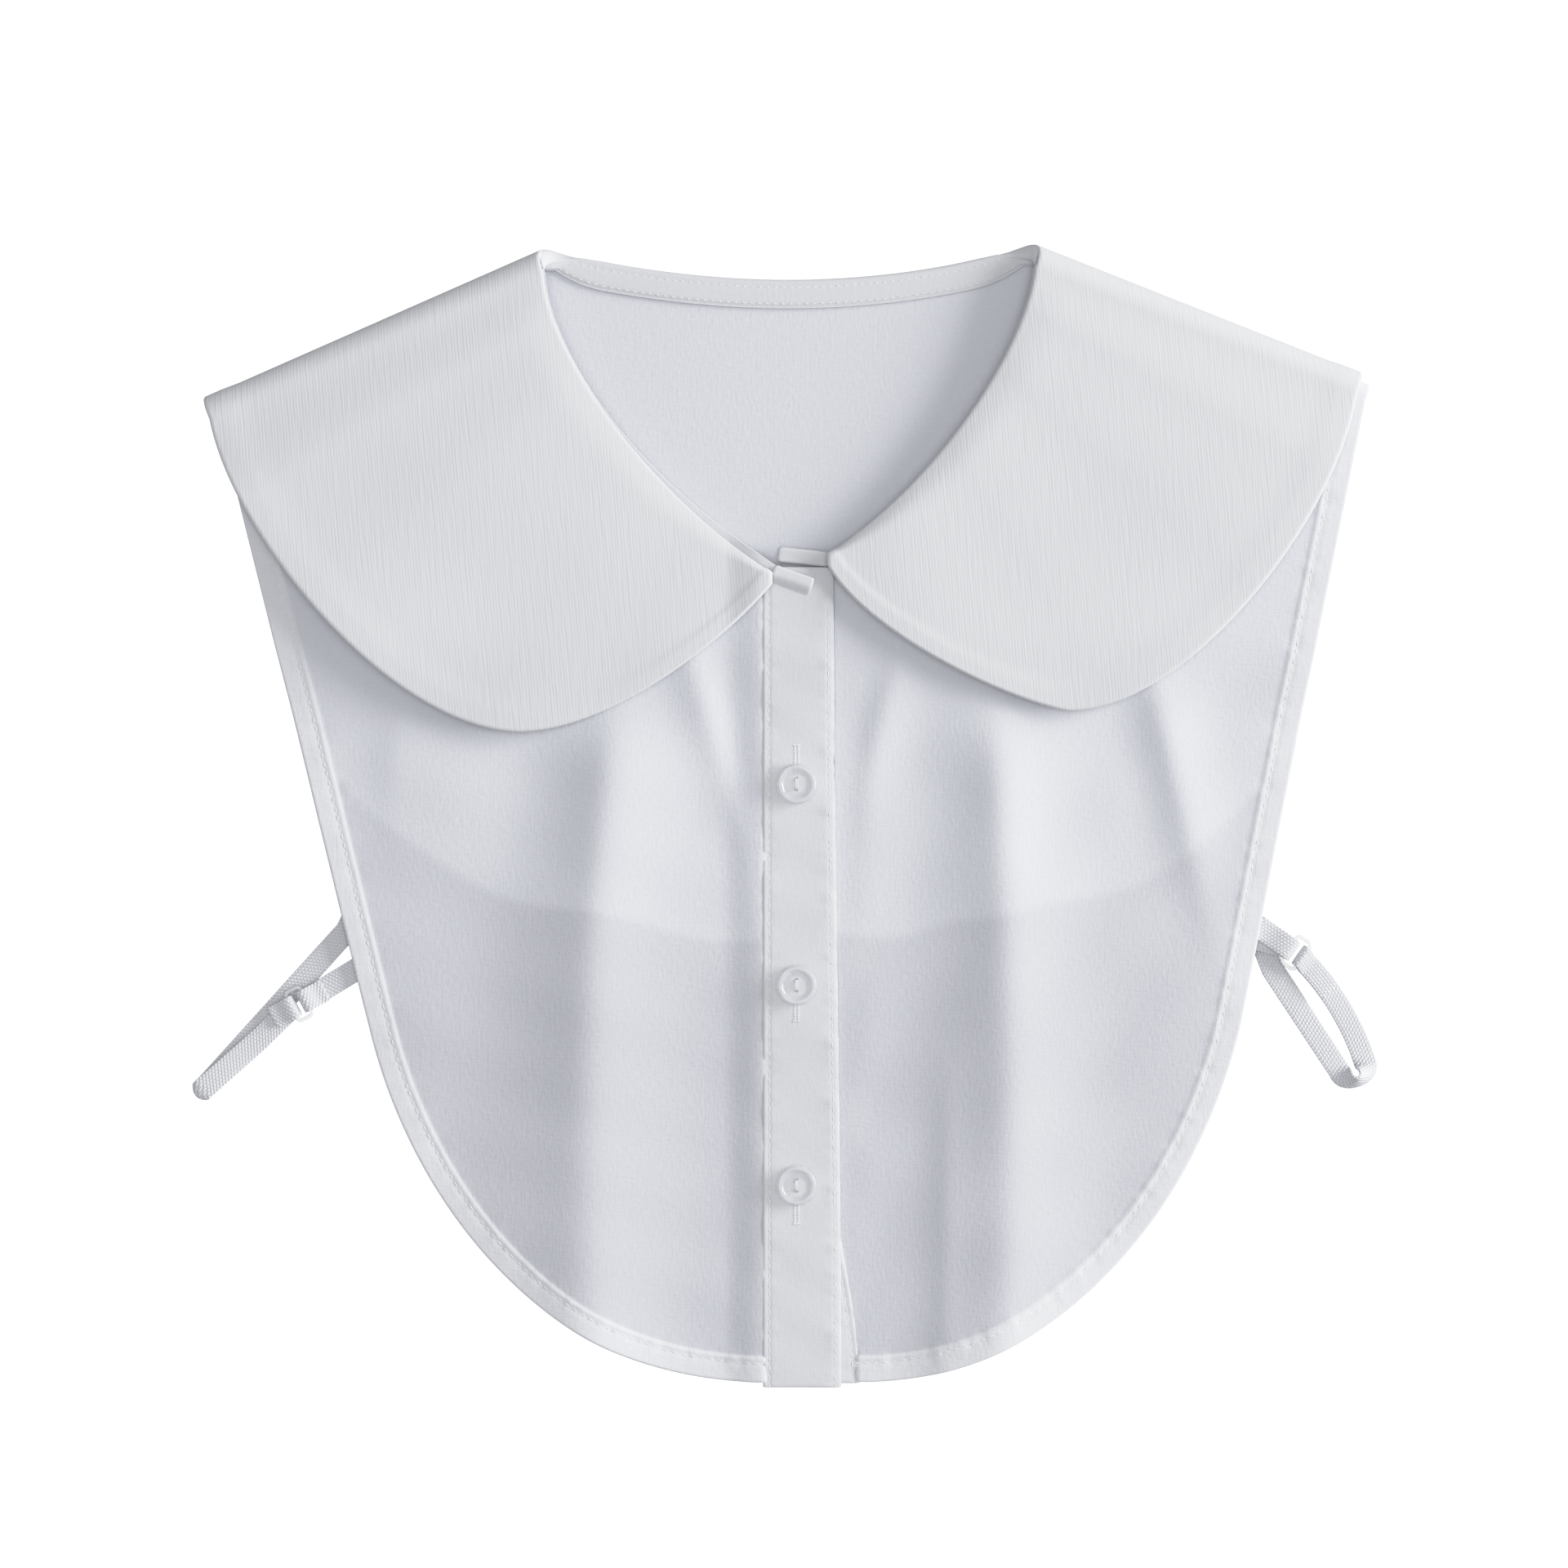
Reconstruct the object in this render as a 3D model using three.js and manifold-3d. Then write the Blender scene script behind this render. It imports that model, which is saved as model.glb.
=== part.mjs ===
// A detachable collar laid flat with its front up: a wide collar with two rounded lobes on a short
// buttoned bib, a back panel, bound edges, and an elastic loop at each side.
// Millimetres. X runs across, Y from the hem up to the neck, Z up from the surface that it lies on.
import * as THREE from "three";
import Module from "manifold-3d";

const wasm = await Module();
wasm.setup();

// Thickness of each cloth, and the gap between pieces that are sewn or pressed together
const BIB_CLOTH = 1.0;
const EDGE_CLOTH = 1.6; // hems and neck band, where the cloth is folded
const COLLAR_CLOTH = 2.0;
const PLACKET_CLOTH = 1.4;
const STAND_CLOTH = 1.2;
const BAND_CLOTH = 1.2;
const SEAM = 0.35;

// Neck and shoulders
const NECK_WIDTH = 139;
const FRONT_NECK_DROP = 91;
const BACK_NECK_DROP = 10.6;
const SHOULDER_SLOPE = 22.7; // degrees
const SHOULDER_TURN = 7; // how far in from the fold the cloth is level again
const NECK_FRONT_ALONG = 3; // along the shoulder, from the neck corner to the front neck edge
const NECK_BACK_ALONG = -7.8; // and to the back neck edge
const SHOULDER_HEIGHT = 13; // top of the collar beside the fold
const SHOULDER_EASE = 95; // how far below the fold the front still slopes down

// Collar
const COLLAR_SHOULDER = 102; // along the fold, neck to tip
const LOBE_DROP = 134; // neck corners to the bottom of the lobes
const COLLAR_BACK = 98; // width at the centre of the back
const COLLAR_STEP = 28; // how far past its edge the back panel comes down to the surface
const COLLAR_BACK_INSET = 2; // how much shorter its shoulder is at the back
const COLLAR_BACK_TAPER = 6; // and how much further in its side lies halfway down
const COLLAR_FRONT_EDGE = 2.5;
const COLLAR_LIFT = 5; // how far a free edge stands off the bib
const COLLAR_BACK_PROUD = 1.2; // how far its fold shows past the band

// Bib, back panel and their bound edges
const BIB_SHOULDER = 102.7;
const BIB_LENGTH = 321.3; // neck corners to the lowest point
const BIB_HALF_WIDTH = 123.3; // at the foot of the straight side
const BIB_OFFSET = 4.5; // its centre line lies this far right of the neck's
const BACK_LENGTH = 195;
const BACK_INSET = 2; // the back panel's side lies this far inside the front's
const HEM_WIDTH = 7.5;
const BAND_WIDTH = 7;
const FRONT_BAND_WIDTH = 5;
const INSIDE_ROOM = 1.4; // air between the front and the back where both lie flat

// Front opening
const PLACKET_LEFT = -7.1;
const PLACKET_WIDTH = 19.6;
const PLACKET_FLARE = 2.2; // wider at the hem
const PLACKET_DROP = 1; // how far it hangs below the hem
const STAND_SHOWS = 5.5; // how far the button stand shows past the placket at the hem
const STAND_INSET = 3; // how far in its left edge lies
const OPENING_TOP = 94.5; // below the neck corners
const LAP_EASE = 30; // width over which the upper front rises to lap over the other
const TAB_CLOTH = 1.6;

// Buttons
const BUTTON_DIAMETER = 11.5;
const BUTTON_THICKNESS = 2.4;
const BUTTON_RIM = 1.5;
const BUTTON_DISH = 0.7; // depth of the dished middle
const BUTTON_HOLE = 1.3;
const BUTTON_HOLE_SPACING = 2.8;
const BUTTON_COUNT = 3;
const BUTTON_X = 2.2;
const FIRST_BUTTON = 151.8; // below the neck corners
const BUTTON_PITCH = 56.7;

// Elastic loops
const STRAP_WIDTH = 6.5;
const STRAP_CLOTH = 1.0;
const RING_WIRE = 1.2;
const RING_BARS = 4.6; // between the centres of the two bars
const RING_SLACK = 0.6; // at each edge of the strap
const RING_CORNER = 1.2;
const STRAP_FROM = 0.515; // share of the back panel's edge where the loop is sewn on
const FOLD_BACK = 6; // length of strap turned back at a bar
const TAB_UNDER_HEM = 5;
const LOOP_TURN = 3.8; // radius of the right loop's turn
const LOOP_FROM = 198; // degrees from +X to where the turn starts, seen from its centre
const LOOP_BANK = 62; // degrees that the strap stands up in it
const LOOP_FOLD = 1.5; // radius of the left loop's fold
const LOOP_BOW = 2.4; // how far the right loop's outer run bows out
const BAR_GAP = 0.3; // between a bar and the strap round it
const STRAP_GAP = 0.6; // between a loop's sewn end and the back panel's edge

// The two sides don't lie quite alike. rise and peek (how far the band shows inside the neck
// edge) are in millimetres, as is the end of the band, tab. The rest are shares of the sizes above:
// neck and edge hold the handles and ends of the curves from the shoulder to the front point.
const LEFT = {
  sign: -1,
  rise: -0.7,
  slope: 1.048,
  shoulder: 1.027,
  peek: 2.6,
  tab: { x: 0.7, down: 0, turn: -19, length: 11.4, width: 5.2, high: 3.5 },
  neck: [
    { across: 0.986, down: 0.329 },
    { across: 0.599, down: 0.758 },
    { across: 0.076, down: 1.021 },
  ],
  edge: [
    { across: 0.956, down: 0.601 },
    { across: 0.693, down: 1.013 },
    { across: 0.469, down: 1.022 },
    { across: 0.319, down: 1.022 },
    { across: 0.121, down: 0.841 },
  ],
  lift: [
    { at: 0, neck: 0.3, edge: 0.3 },
    { at: 0.25, neck: 0.35, edge: 0.45 },
    { at: 0.45, neck: 0.4, edge: 0.6 },
    { at: 0.7, neck: 0.35, edge: 0.9 },
    { at: 0.88, neck: 0.2, edge: 0.5 },
    { at: 1, neck: 0, edge: 0 },
  ],
};
const RIGHT = {
  sign: 1,
  rise: 0.7,
  slope: 0.952,
  shoulder: 0.975,
  peek: 0.6,
  tab: { x: -0.4, down: 0.9, turn: 174, length: 14, width: 4, high: 0.3 },
  neck: [
    { across: 0.957, down: 0.354 },
    { across: 0.576, down: 0.758 },
    { across: 0.165, down: 0.963 },
  ],
  edge: [
    { across: 0.937, down: 0.584 },
    { across: 0.683, down: 0.978 },
    { across: 0.481, down: 0.978 },
    { across: 0.352, down: 0.944 },
    { across: 0.133, down: 0.807 },
  ],
  lift: [
    { at: 0, neck: 0.5, edge: 0.6 },
    { at: 0.2, neck: 0.6, edge: 0.9 },
    { at: 0.45, neck: 0.5, edge: 0.55 },
    { at: 0.7, neck: 0.3, edge: 0.5 },
    { at: 0.88, neck: 0.2, edge: 0.3 },
    { at: 1, neck: 0, edge: 0 },
  ],
};

// Soft folds of the bib: the crest's place across at three heights, as shares of the bib's half width
// and length, how wide its left and right slopes are as shares of the half width, and its height in
// cloths.
const FOLDS = [
  { x: [-0.42, -0.476, -0.48], y: [0.4, 0.6, 1.02], left: 0.17, right: 0.21, high: 4.4, foot: 0.75 },
  { x: [-0.2, -0.11, -0.055], y: [0.33, 0.45, 0.58], left: 0.08, right: 0.07, high: 1.6, foot: 0 },
  { x: [-0.9, -0.91, -0.86], y: [0.4, 0.47, 0.6], left: 0.12, right: 0.2, high: 1.2, foot: 0 },
  { x: [0.46, 0.48, 0.44], y: [0.4, 0.6, 1.02], left: 0.16, right: 0.2, high: 4.4, foot: 0.7 },
  { x: [0.84, 0.9, 0.99], y: [0.38, 0.49, 0.65], left: 0.1, right: 0.08, high: 1.8, foot: 0 },
  { x: [0.24, 0.16, 0.1], y: [0.34, 0.48, 0.58], left: 0.07, right: 0.09, high: 1.5, foot: 0 },
];
const FOLD_FADE = 0.12; // share of the bib's length over which a fold rises or dies away

const { lerp, smoothstep, degToRad } = THREE.MathUtils;
const HALF_TURN = Math.PI;
const halfNeck = NECK_WIDTH / 2;
const placketRight = PLACKET_LEFT + PLACKET_WIDTH;

// Middle of the bib's cloth at the shoulder: beside the fold in front, and below it at the back
const collarOffset = EDGE_CLOTH / 2 + SEAM + COLLAR_CLOTH / 2;
const shoulderTop = SHOULDER_HEIGHT - COLLAR_CLOTH / 2 - collarOffset;
const shoulderBottom = COLLAR_CLOTH / 2 + collarOffset;
const onTable = EDGE_CLOTH / 2;
const layer = EDGE_CLOTH + INSIDE_ROOM;
const overlapLift = STAND_CLOTH / 2 + SEAM + PLACKET_CLOTH / 2;
const bandOffset = BIB_CLOTH / 2 + SEAM + BAND_CLOTH / 2;

// A point of the plan at a distance along the shoulder fold from the neck corner and a depth below the fold
function shoulderPoint(side, along, depth) {
  const slope = degToRad(SHOULDER_SLOPE * side.slope);
  const x = halfNeck + along * Math.cos(slope) - depth * Math.sin(slope);
  const y = side.rise - along * Math.sin(slope) - depth * Math.cos(slope);
  return new THREE.Vector2(side.sign * x, y);
}

function depthBelowShoulder(x, y) {
  const side = x < 0 ? LEFT : RIGHT;
  const slope = degToRad(SHOULDER_SLOPE * side.slope);
  return -(side.sign * x - halfNeck) * Math.sin(slope) - (y - side.rise) * Math.cos(slope);
}

// Height of the middle of the back panel's cloth
function backHeight(x, y) {
  const edge = BACK_NECK_DROP + COLLAR_BACK;
  const pastCollar = smoothstep(-y, edge, edge + COLLAR_STEP);
  return lerp(shoulderBottom, onTable, pastCollar);
}

// Height of the middle of the front's cloth without its folds
function frontBase(x, y) {
  const pastStraps = smoothstep(-y, 0.64 * BIB_LENGTH, 0.78 * BIB_LENGTH);
  const rest = backHeight(x, y) + layer * (1 - pastStraps);
  const slope = 1 - smoothstep(depthBelowShoulder(x, y), SHOULDER_TURN, SHOULDER_TURN + SHOULDER_EASE);
  return Math.max(rest, lerp(rest, shoulderTop, slope));
}

// A parabola through three heights of a fold's crest
function crest(fold, down) {
  const [a, b, c] = fold.y;
  const [p, q, r] = fold.x;
  return (
    (p * (down - b) * (down - c)) / ((a - b) * (a - c)) +
    (q * (down - a) * (down - c)) / ((b - a) * (b - c)) +
    (r * (down - a) * (down - b)) / ((c - a) * (c - b))
  );
}

function foldHeight(x, y) {
  const down = -y / BIB_LENGTH;
  const free = smoothstep(Math.abs(x - BIB_OFFSET), PLACKET_WIDTH / 2, PLACKET_WIDTH);
  let height = 0;
  for (const fold of FOLDS) {
    const from = (x - BIB_OFFSET) / BIB_HALF_WIDTH - crest(fold, down);
    const share = from / (from < 0 ? fold.left : fold.right);
    if (Math.abs(share) >= 1) continue;
    const top = fold.y[0];
    const end = fold.y[2];
    const rises = smoothstep(down, top - FOLD_FADE / 2, top + FOLD_FADE / 2);
    const dies = lerp(fold.foot, 1, 1 - smoothstep(down, end - 2 * FOLD_FADE, end));
    height += fold.high * BIB_CLOTH * rises * dies * Math.cos((share * HALF_TURN) / 2) ** 2;
  }
  return height * free;
}

// The left front laps over the right one, so it stands higher near the opening
function lapLift(side, x) {
  return side === LEFT ? overlapLift * smoothstep(x, PLACKET_LEFT - LAP_EASE, PLACKET_LEFT) : 0;
}

function frontHeight(side, x, y) {
  return frontBase(x, y) + foldHeight(x, y) + lapLift(side, x);
}

// Points spaced evenly along a run of plan points
function spaced(points, count) {
  const lengths = [0];
  for (let i = 1; i < points.length; i++) {
    lengths.push(lengths[i - 1] + points[i].distanceTo(points[i - 1]));
  }
  const total = lengths[lengths.length - 1];
  const found = [];
  for (let k = 0, i = 1; k <= count; k++) {
    const at = (total * k) / count;
    while (i < points.length - 1 && lengths[i] < at) i++;
    const share = (at - lengths[i - 1]) / (lengths[i] - lengths[i - 1]);
    found.push(points[i - 1].clone().lerp(points[i], share));
  }
  return found;
}

// A run of plan points moved sideways by a width that may change along it
function beside(points, width) {
  const last = points.length - 1;
  return points.map((point, i) => {
    const ahead = points[Math.min(i + 1, last)].clone().sub(points[Math.max(i - 1, 0)]).normalize();
    const far = typeof width === "function" ? width(i / last) : width;
    return new THREE.Vector2(point.x - ahead.y * far, point.y + ahead.x * far);
  });
}

function evenly(count) {
  return Array.from({ length: count + 1 }, (_, k) => k / count);
}

const FINE = 80; // steps that a curve is read in before it is spaced
const cubic = (...points) => new THREE.CubicBezierCurve(...points).getPoints(FINE);

// Plan curves of one side, each from the shoulder to the front or the centre
function shares(side, across, down, rows) {
  return rows.map((row) => new THREE.Vector2(side.sign * row.across * across, -row.down * down));
}

function frontPoint(side) {
  return shares(side, halfNeck, FRONT_NECK_DROP, side.neck)[2];
}

function frontNeck(side) {
  const start = shoulderPoint(side, NECK_FRONT_ALONG, SHOULDER_TURN);
  return cubic(start, ...shares(side, halfNeck, FRONT_NECK_DROP, side.neck));
}

function backNeck(side) {
  const start = shoulderPoint(side, NECK_BACK_ALONG, SHOULDER_TURN);
  const near = new THREE.Vector2(side.sign * halfNeck * 0.68, -BACK_NECK_DROP * 0.65);
  const far = new THREE.Vector2(side.sign * halfNeck * 0.35, -BACK_NECK_DROP);
  return cubic(start, near, far, new THREE.Vector2(0, -BACK_NECK_DROP));
}

function collarTip(side) {
  return COLLAR_SHOULDER * side.shoulder;
}

function frontCollarEdge(side) {
  const start = shoulderPoint(side, collarTip(side), SHOULDER_TURN);
  const span = halfNeck + COLLAR_SHOULDER * Math.cos(degToRad(SHOULDER_SLOPE));
  const [a, b, lobe, c, d] = shares(side, span, LOBE_DROP, side.edge);
  const front = frontPoint(side);
  const end = new THREE.Vector2(front.x, front.y - COLLAR_FRONT_EDGE);
  return [...cubic(start, a, b, lobe), ...cubic(lobe, c, d, end).slice(1)];
}

function backCollarEdge(side) {
  const start = shoulderPoint(side, collarTip(side) - COLLAR_BACK_INSET, SHOULDER_TURN);
  const inset = COLLAR_BACK_INSET + COLLAR_BACK_TAPER;
  const down = shoulderPoint(side, collarTip(side) - inset, 0.55 * COLLAR_BACK);
  const centre = new THREE.Vector2(0, -BACK_NECK_DROP - COLLAR_BACK);
  const near = new THREE.Vector2(side.sign * halfNeck, centre.y);
  return cubic(start, down, near, centre);
}

// The button stand's right edge, hidden by the placket until it swings out near the hem
function standRight(y) {
  const low = smoothstep(-y, 0.8 * BIB_LENGTH, BIB_LENGTH);
  return placketRight - SEAM + low * (PLACKET_FLARE + STAND_SHOWS);
}

function placketEdge(y) {
  return placketRight + PLACKET_FLARE * smoothstep(-y, OPENING_TOP, BIB_LENGTH);
}

// The inner edge of a front panel below the neck, down the opening to just above the hem
function openingEdge(side) {
  const from = 0.3 - frontPoint(side).y;
  const to = BIB_LENGTH - HEM_WIDTH - 3;
  return evenly(FINE).map((share) => {
    const y = -lerp(from, to, share);
    return new THREE.Vector2(side === LEFT ? PLACKET_LEFT - SEAM : standRight(y) + SEAM, y);
  });
}

// The outer edge of a front panel, down the side and round to the opening
function bibEdge(side) {
  const waist = new THREE.Vector2(BIB_OFFSET + side.sign * BIB_HALF_WIDTH, -0.687 * BIB_LENGTH);
  const curve = new THREE.Vector2(BIB_OFFSET + side.sign * 0.905 * BIB_HALF_WIDTH, -0.848 * BIB_LENGTH);
  const flat = new THREE.Vector2(BIB_OFFSET + side.sign * 0.578 * BIB_HALF_WIDTH, -1.002 * BIB_LENGTH);
  const foot = side === LEFT ? PLACKET_LEFT - SEAM : standRight(-BIB_LENGTH) + SEAM;
  const end = new THREE.Vector2(foot, -BIB_LENGTH);
  return [shoulderPoint(side, BIB_SHOULDER, SHOULDER_TURN), ...cubic(waist, curve, flat, end)];
}

function backEdge(side) {
  const edge = BIB_HALF_WIDTH - BACK_INSET;
  const hip = new THREE.Vector2(BIB_OFFSET + side.sign * 1.1 * edge, -0.73 * BACK_LENGTH);
  const curve = new THREE.Vector2(BIB_OFFSET + side.sign * 1.05 * edge, -0.88 * BACK_LENGTH);
  const flat = new THREE.Vector2(BIB_OFFSET + side.sign * 0.55 * edge, -BACK_LENGTH);
  const centre = new THREE.Vector2(BIB_OFFSET, -BACK_LENGTH);
  const start = shoulderPoint(side, BIB_SHOULDER - BACK_INSET, SHOULDER_TURN);
  return [start, ...cubic(hip, curve, flat, centre)];
}

// Moves a side's edge towards the middle of the garment
function inward(side, edge, width) {
  const far = typeof width === "function" ? (share) => -side.sign * width(share) : -side.sign * width;
  return beside(edge, far);
}

// One closed body from rows of points down the middle of a sheet's thickness
function sheet(rows, thickness) {
  const count = rows.length;
  const width = rows[0].length;
  const positions = [];
  const normals = rows.map((row, i) =>
    row.map((point, j) => {
      const along = rows[Math.min(i + 1, count - 1)][j].clone().sub(rows[Math.max(i - 1, 0)][j]);
      const across = row[Math.min(j + 1, width - 1)].clone().sub(row[Math.max(j - 1, 0)]);
      return along.cross(across).normalize();
    }),
  );
  for (const way of [0.5, -0.5]) {
    rows.forEach((row, i) => {
      row.forEach((point, j) => {
        const far = way * (typeof thickness === "function" ? thickness(j) : thickness);
        positions.push(...point.clone().addScaledVector(normals[i][j], far).toArray());
      });
    });
  }
  const faces = [];
  const quad = (a, b, c, d) => faces.push(a, b, c, a, c, d);
  const top = (i, j) => i * width + j;
  const under = (i, j) => (count + i) * width + j;
  for (let i = 0; i < count - 1; i++) {
    for (let j = 0; j < width - 1; j++) {
      quad(top(i, j), top(i + 1, j), top(i + 1, j + 1), top(i, j + 1));
      quad(under(i, j), under(i, j + 1), under(i + 1, j + 1), under(i + 1, j));
    }
    quad(top(i, 0), under(i, 0), under(i + 1, 0), top(i + 1, 0));
    quad(top(i, width - 1), top(i + 1, width - 1), under(i + 1, width - 1), under(i, width - 1));
  }
  for (let j = 0; j < width - 1; j++) {
    quad(top(0, j), top(0, j + 1), under(0, j + 1), under(0, j));
    quad(top(count - 1, j), under(count - 1, j), under(count - 1, j + 1), top(count - 1, j + 1));
  }
  const geometry = new THREE.BufferGeometry();
  geometry.setAttribute("position", new THREE.Float32BufferAttribute(positions, 3));
  geometry.setIndex(faces);
  return facingOut(geometry);
}

// Turns a closed geometry's faces outwards
function facingOut(geometry) {
  const at = geometry.getAttribute("position");
  const index = geometry.index.array;
  const [a, b, c] = [new THREE.Vector3(), new THREE.Vector3(), new THREE.Vector3()];
  let volume = 0;
  for (let i = 0; i < index.length; i += 3) {
    a.fromBufferAttribute(at, index[i]);
    b.fromBufferAttribute(at, index[i + 1]);
    c.fromBufferAttribute(at, index[i + 2]);
    volume += a.dot(b.cross(c));
  }
  if (volume < 0) {
    for (let i = 0; i < index.length; i += 3) [index[i + 1], index[i + 2]] = [index[i + 2], index[i + 1]];
  }
  return geometry;
}

// A row of points across a sheet between two plan points
function across(inner, outer, steps, height) {
  return steps.map((share) => {
    const at = inner.clone().lerp(outer, share);
    return new THREE.Vector3(at.x, at.y, height(at.x, at.y, share));
  });
}

// Rows that carry a sheet round the shoulder fold between two shares of the half turn from front to
// back. The sheet lies outside the bib's cloth by offset, and places gives where its columns are along
// the fold.
function shoulderRows(side, offset, from, to, count, places) {
  const reach = SHOULDER_TURN - collarOffset - COLLAR_CLOTH / 2 + offset;
  const rise = (shoulderTop - shoulderBottom) / 2 + offset;
  return evenly(count).map((step) => {
    const share = lerp(from, to, step);
    const depth = SHOULDER_TURN - reach * Math.sin(share * HALF_TURN);
    const height = (shoulderTop + shoulderBottom) / 2 + rise * Math.cos(share * HALF_TURN);
    return places(share).map((along) => {
      const at = shoulderPoint(side, along, depth);
      return new THREE.Vector3(at.x, at.y, height);
    });
  });
}

const TURN_STEPS = 8; // rows that carry a sheet from level to level round the shoulder
const neckAlong = (share) => lerp(NECK_FRONT_ALONG, NECK_BACK_ALONG, share);

// The lift of a collar lobe off the bib, read from its table
function lobeLift(side, at, share) {
  const rows = side.lift;
  const i = Math.max(1, rows.findIndex((row) => row.at >= at));
  const between = smoothstep(at, rows[i - 1].at, rows[i].at);
  const neck = lerp(rows[i - 1].neck, rows[i].neck, between);
  const edge = lerp(rows[i - 1].edge, rows[i].edge, between);
  return COLLAR_LIFT * lerp(neck, edge, share);
}

const COLLAR_STEPS = [0, 0.03, 0.09, 0.25, 0.45, 0.65, 0.85, 1];
const NECK_ROLL = 0.09; // share of the lobe's width over which it rises from the neck seam
const LOBE_ROWS = 18;
const COLLAR_BACK_ROWS = 12;

function lobeRows(side) {
  const neck = spaced(frontNeck(side), LOBE_ROWS);
  const edge = spaced(frontCollarEdge(side), LOBE_ROWS);
  return neck.map((start, i) =>
    across(start, edge[i], COLLAR_STEPS, (x, y, share) => {
      const stand = lobeLift(side, 1 - i / LOBE_ROWS, share) * smoothstep(share, -NECK_ROLL, NECK_ROLL);
      return frontBase(x, y) + lapLift(side, x) + collarOffset + stand;
    }),
  );
}

// The whole collar: left lobe, over the left shoulder, round the back, over the right shoulder, right lobe
function collar() {
  const half = (side) => {
    const tip = (share) => collarTip(side) - COLLAR_BACK_INSET * share ** 2;
    const places = (share) => COLLAR_STEPS.map((step) => lerp(neckAlong(share), tip(share), step));
    const turn = shoulderRows(side, collarOffset, 0, 1, TURN_STEPS, places);
    const neck = spaced(backNeck(side), COLLAR_BACK_ROWS);
    const edge = spaced(backCollarEdge(side), COLLAR_BACK_ROWS);
    const back = neck.map((start, i) => across(start, edge[i], COLLAR_STEPS, () => COLLAR_CLOTH / 2));
    return [...lobeRows(side).reverse().slice(0, -1), ...turn.slice(0, -1), ...back];
  };
  return sheet([...half(LEFT), ...half(RIGHT).reverse().slice(1)], COLLAR_CLOTH);
}

// The neck band, sewn inside the neck edge, from the left front point round the back to the right one
function neckBand() {
  const shows = (side, share) => lerp(0.2, side.peek, smoothstep(share, 0.3, 1));
  const half = (side) => {
    const front = (width) => spaced(inward(side, frontNeck(side), width), LOBE_ROWS);
    const inner = front((share) => shows(side, share));
    const outer = front((share) => shows(side, share) - FRONT_BAND_WIDTH);
    const frontRows = inner.map((start, i) =>
      across(start, outer[i], [0, 1], (x, y) => frontBase(x, y) + lapLift(side, x) - bandOffset),
    );
    const places = (share) => {
      const start = neckAlong(share) + lerp(-0.2, COLLAR_BACK_PROUD, share);
      return [start, start + lerp(FRONT_BAND_WIDTH, BAND_WIDTH, share)];
    };
    const turn = shoulderRows(side, -bandOffset, 0, 1, TURN_STEPS, places);
    const upper = spaced(inward(side, backNeck(side), -COLLAR_BACK_PROUD), COLLAR_BACK_ROWS);
    const lower = spaced(inward(side, backNeck(side), -COLLAR_BACK_PROUD - BAND_WIDTH), COLLAR_BACK_ROWS);
    const height = (x, y) => backHeight(x, y) + bandOffset;
    const back = upper.map((start, i) => across(start, lower[i], [0, 1], height));
    return [...frontRows.reverse().slice(0, -1), ...turn, ...back.slice(1)];
  };
  return sheet([...half(LEFT), ...half(RIGHT).reverse().slice(1)], BAND_CLOTH);
}

// A panel's columns: across the thin cloth to the inner line of the hem, then a step up to the folded edge
const FRONT_STEPS = evenly(11);
const BACK_STEPS = evenly(6);
const HEM_STEP = 0.4;
const NECK_ROWS = 10; // rows of a front panel from the shoulder to the front point
const OPENING_ROWS = 20;
const FRONT_ROWS = NECK_ROWS + OPENING_ROWS;
const BACK_ROWS = 14;
const SEAM_TURN = 0.03; // share of the half turn that each panel stops short of the shoulder seam

function hemmed(steps) {
  return (column) => (column < steps.length ? BIB_CLOTH : EDGE_CLOTH);
}

function hemmedRow(steps, inner, hem, outer, height) {
  const step = hem.clone().lerp(outer, HEM_STEP / hem.distanceTo(outer));
  const edge = [step, outer].map((at) => new THREE.Vector3(at.x, at.y, height(at.x, at.y)));
  return [...across(inner, hem, steps, height), ...edge];
}

function hemmedPlaces(steps, tip) {
  return (share) => {
    const hem = tip(share) - HEM_WIDTH;
    const field = steps.map((step) => lerp(neckAlong(share), hem, step));
    return [...field, hem + HEM_STEP, tip(share)];
  };
}

// A front panel from the seam along the shoulder fold down to the hem
function frontBib(side) {
  const edge = bibEdge(side);
  const hem = spaced(inward(side, edge, HEM_WIDTH), FRONT_ROWS);
  const outer = spaced(edge, FRONT_ROWS);
  const neck = spaced(frontNeck(side), NECK_ROWS);
  const inner = [...neck.slice(0, -1), ...spaced(openingEdge(side), OPENING_ROWS)];
  const height = (x, y) => frontHeight(side, x, y);
  const rows = inner.map((start, i) => hemmedRow(FRONT_STEPS, start, hem[i], outer[i], height));
  const places = hemmedPlaces(FRONT_STEPS, () => BIB_SHOULDER);
  const turn = shoulderRows(side, 0, 0.5 - SEAM_TURN, 0, TURN_STEPS / 2, places);
  return sheet([...turn, ...rows.slice(1)], hemmed(FRONT_STEPS));
}

function backBib() {
  const half = (side) => {
    const edge = backEdge(side);
    const hem = spaced(inward(side, edge, HEM_WIDTH), BACK_ROWS);
    const outer = spaced(edge, BACK_ROWS);
    const neck = spaced(backNeck(side), BACK_ROWS);
    const rows = neck.map((start, i) => hemmedRow(BACK_STEPS, start, hem[i], outer[i], backHeight));
    const tip = (share) => BIB_SHOULDER - BACK_INSET * (2 * share - 1);
    const turn = shoulderRows(side, 0, 0.5 + SEAM_TURN, 1, TURN_STEPS / 2, hemmedPlaces(BACK_STEPS, tip));
    return [...turn, ...rows.slice(1)];
  };
  return sheet([...half(LEFT), ...half(RIGHT).reverse().slice(1)], hemmed(BACK_STEPS));
}

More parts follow.
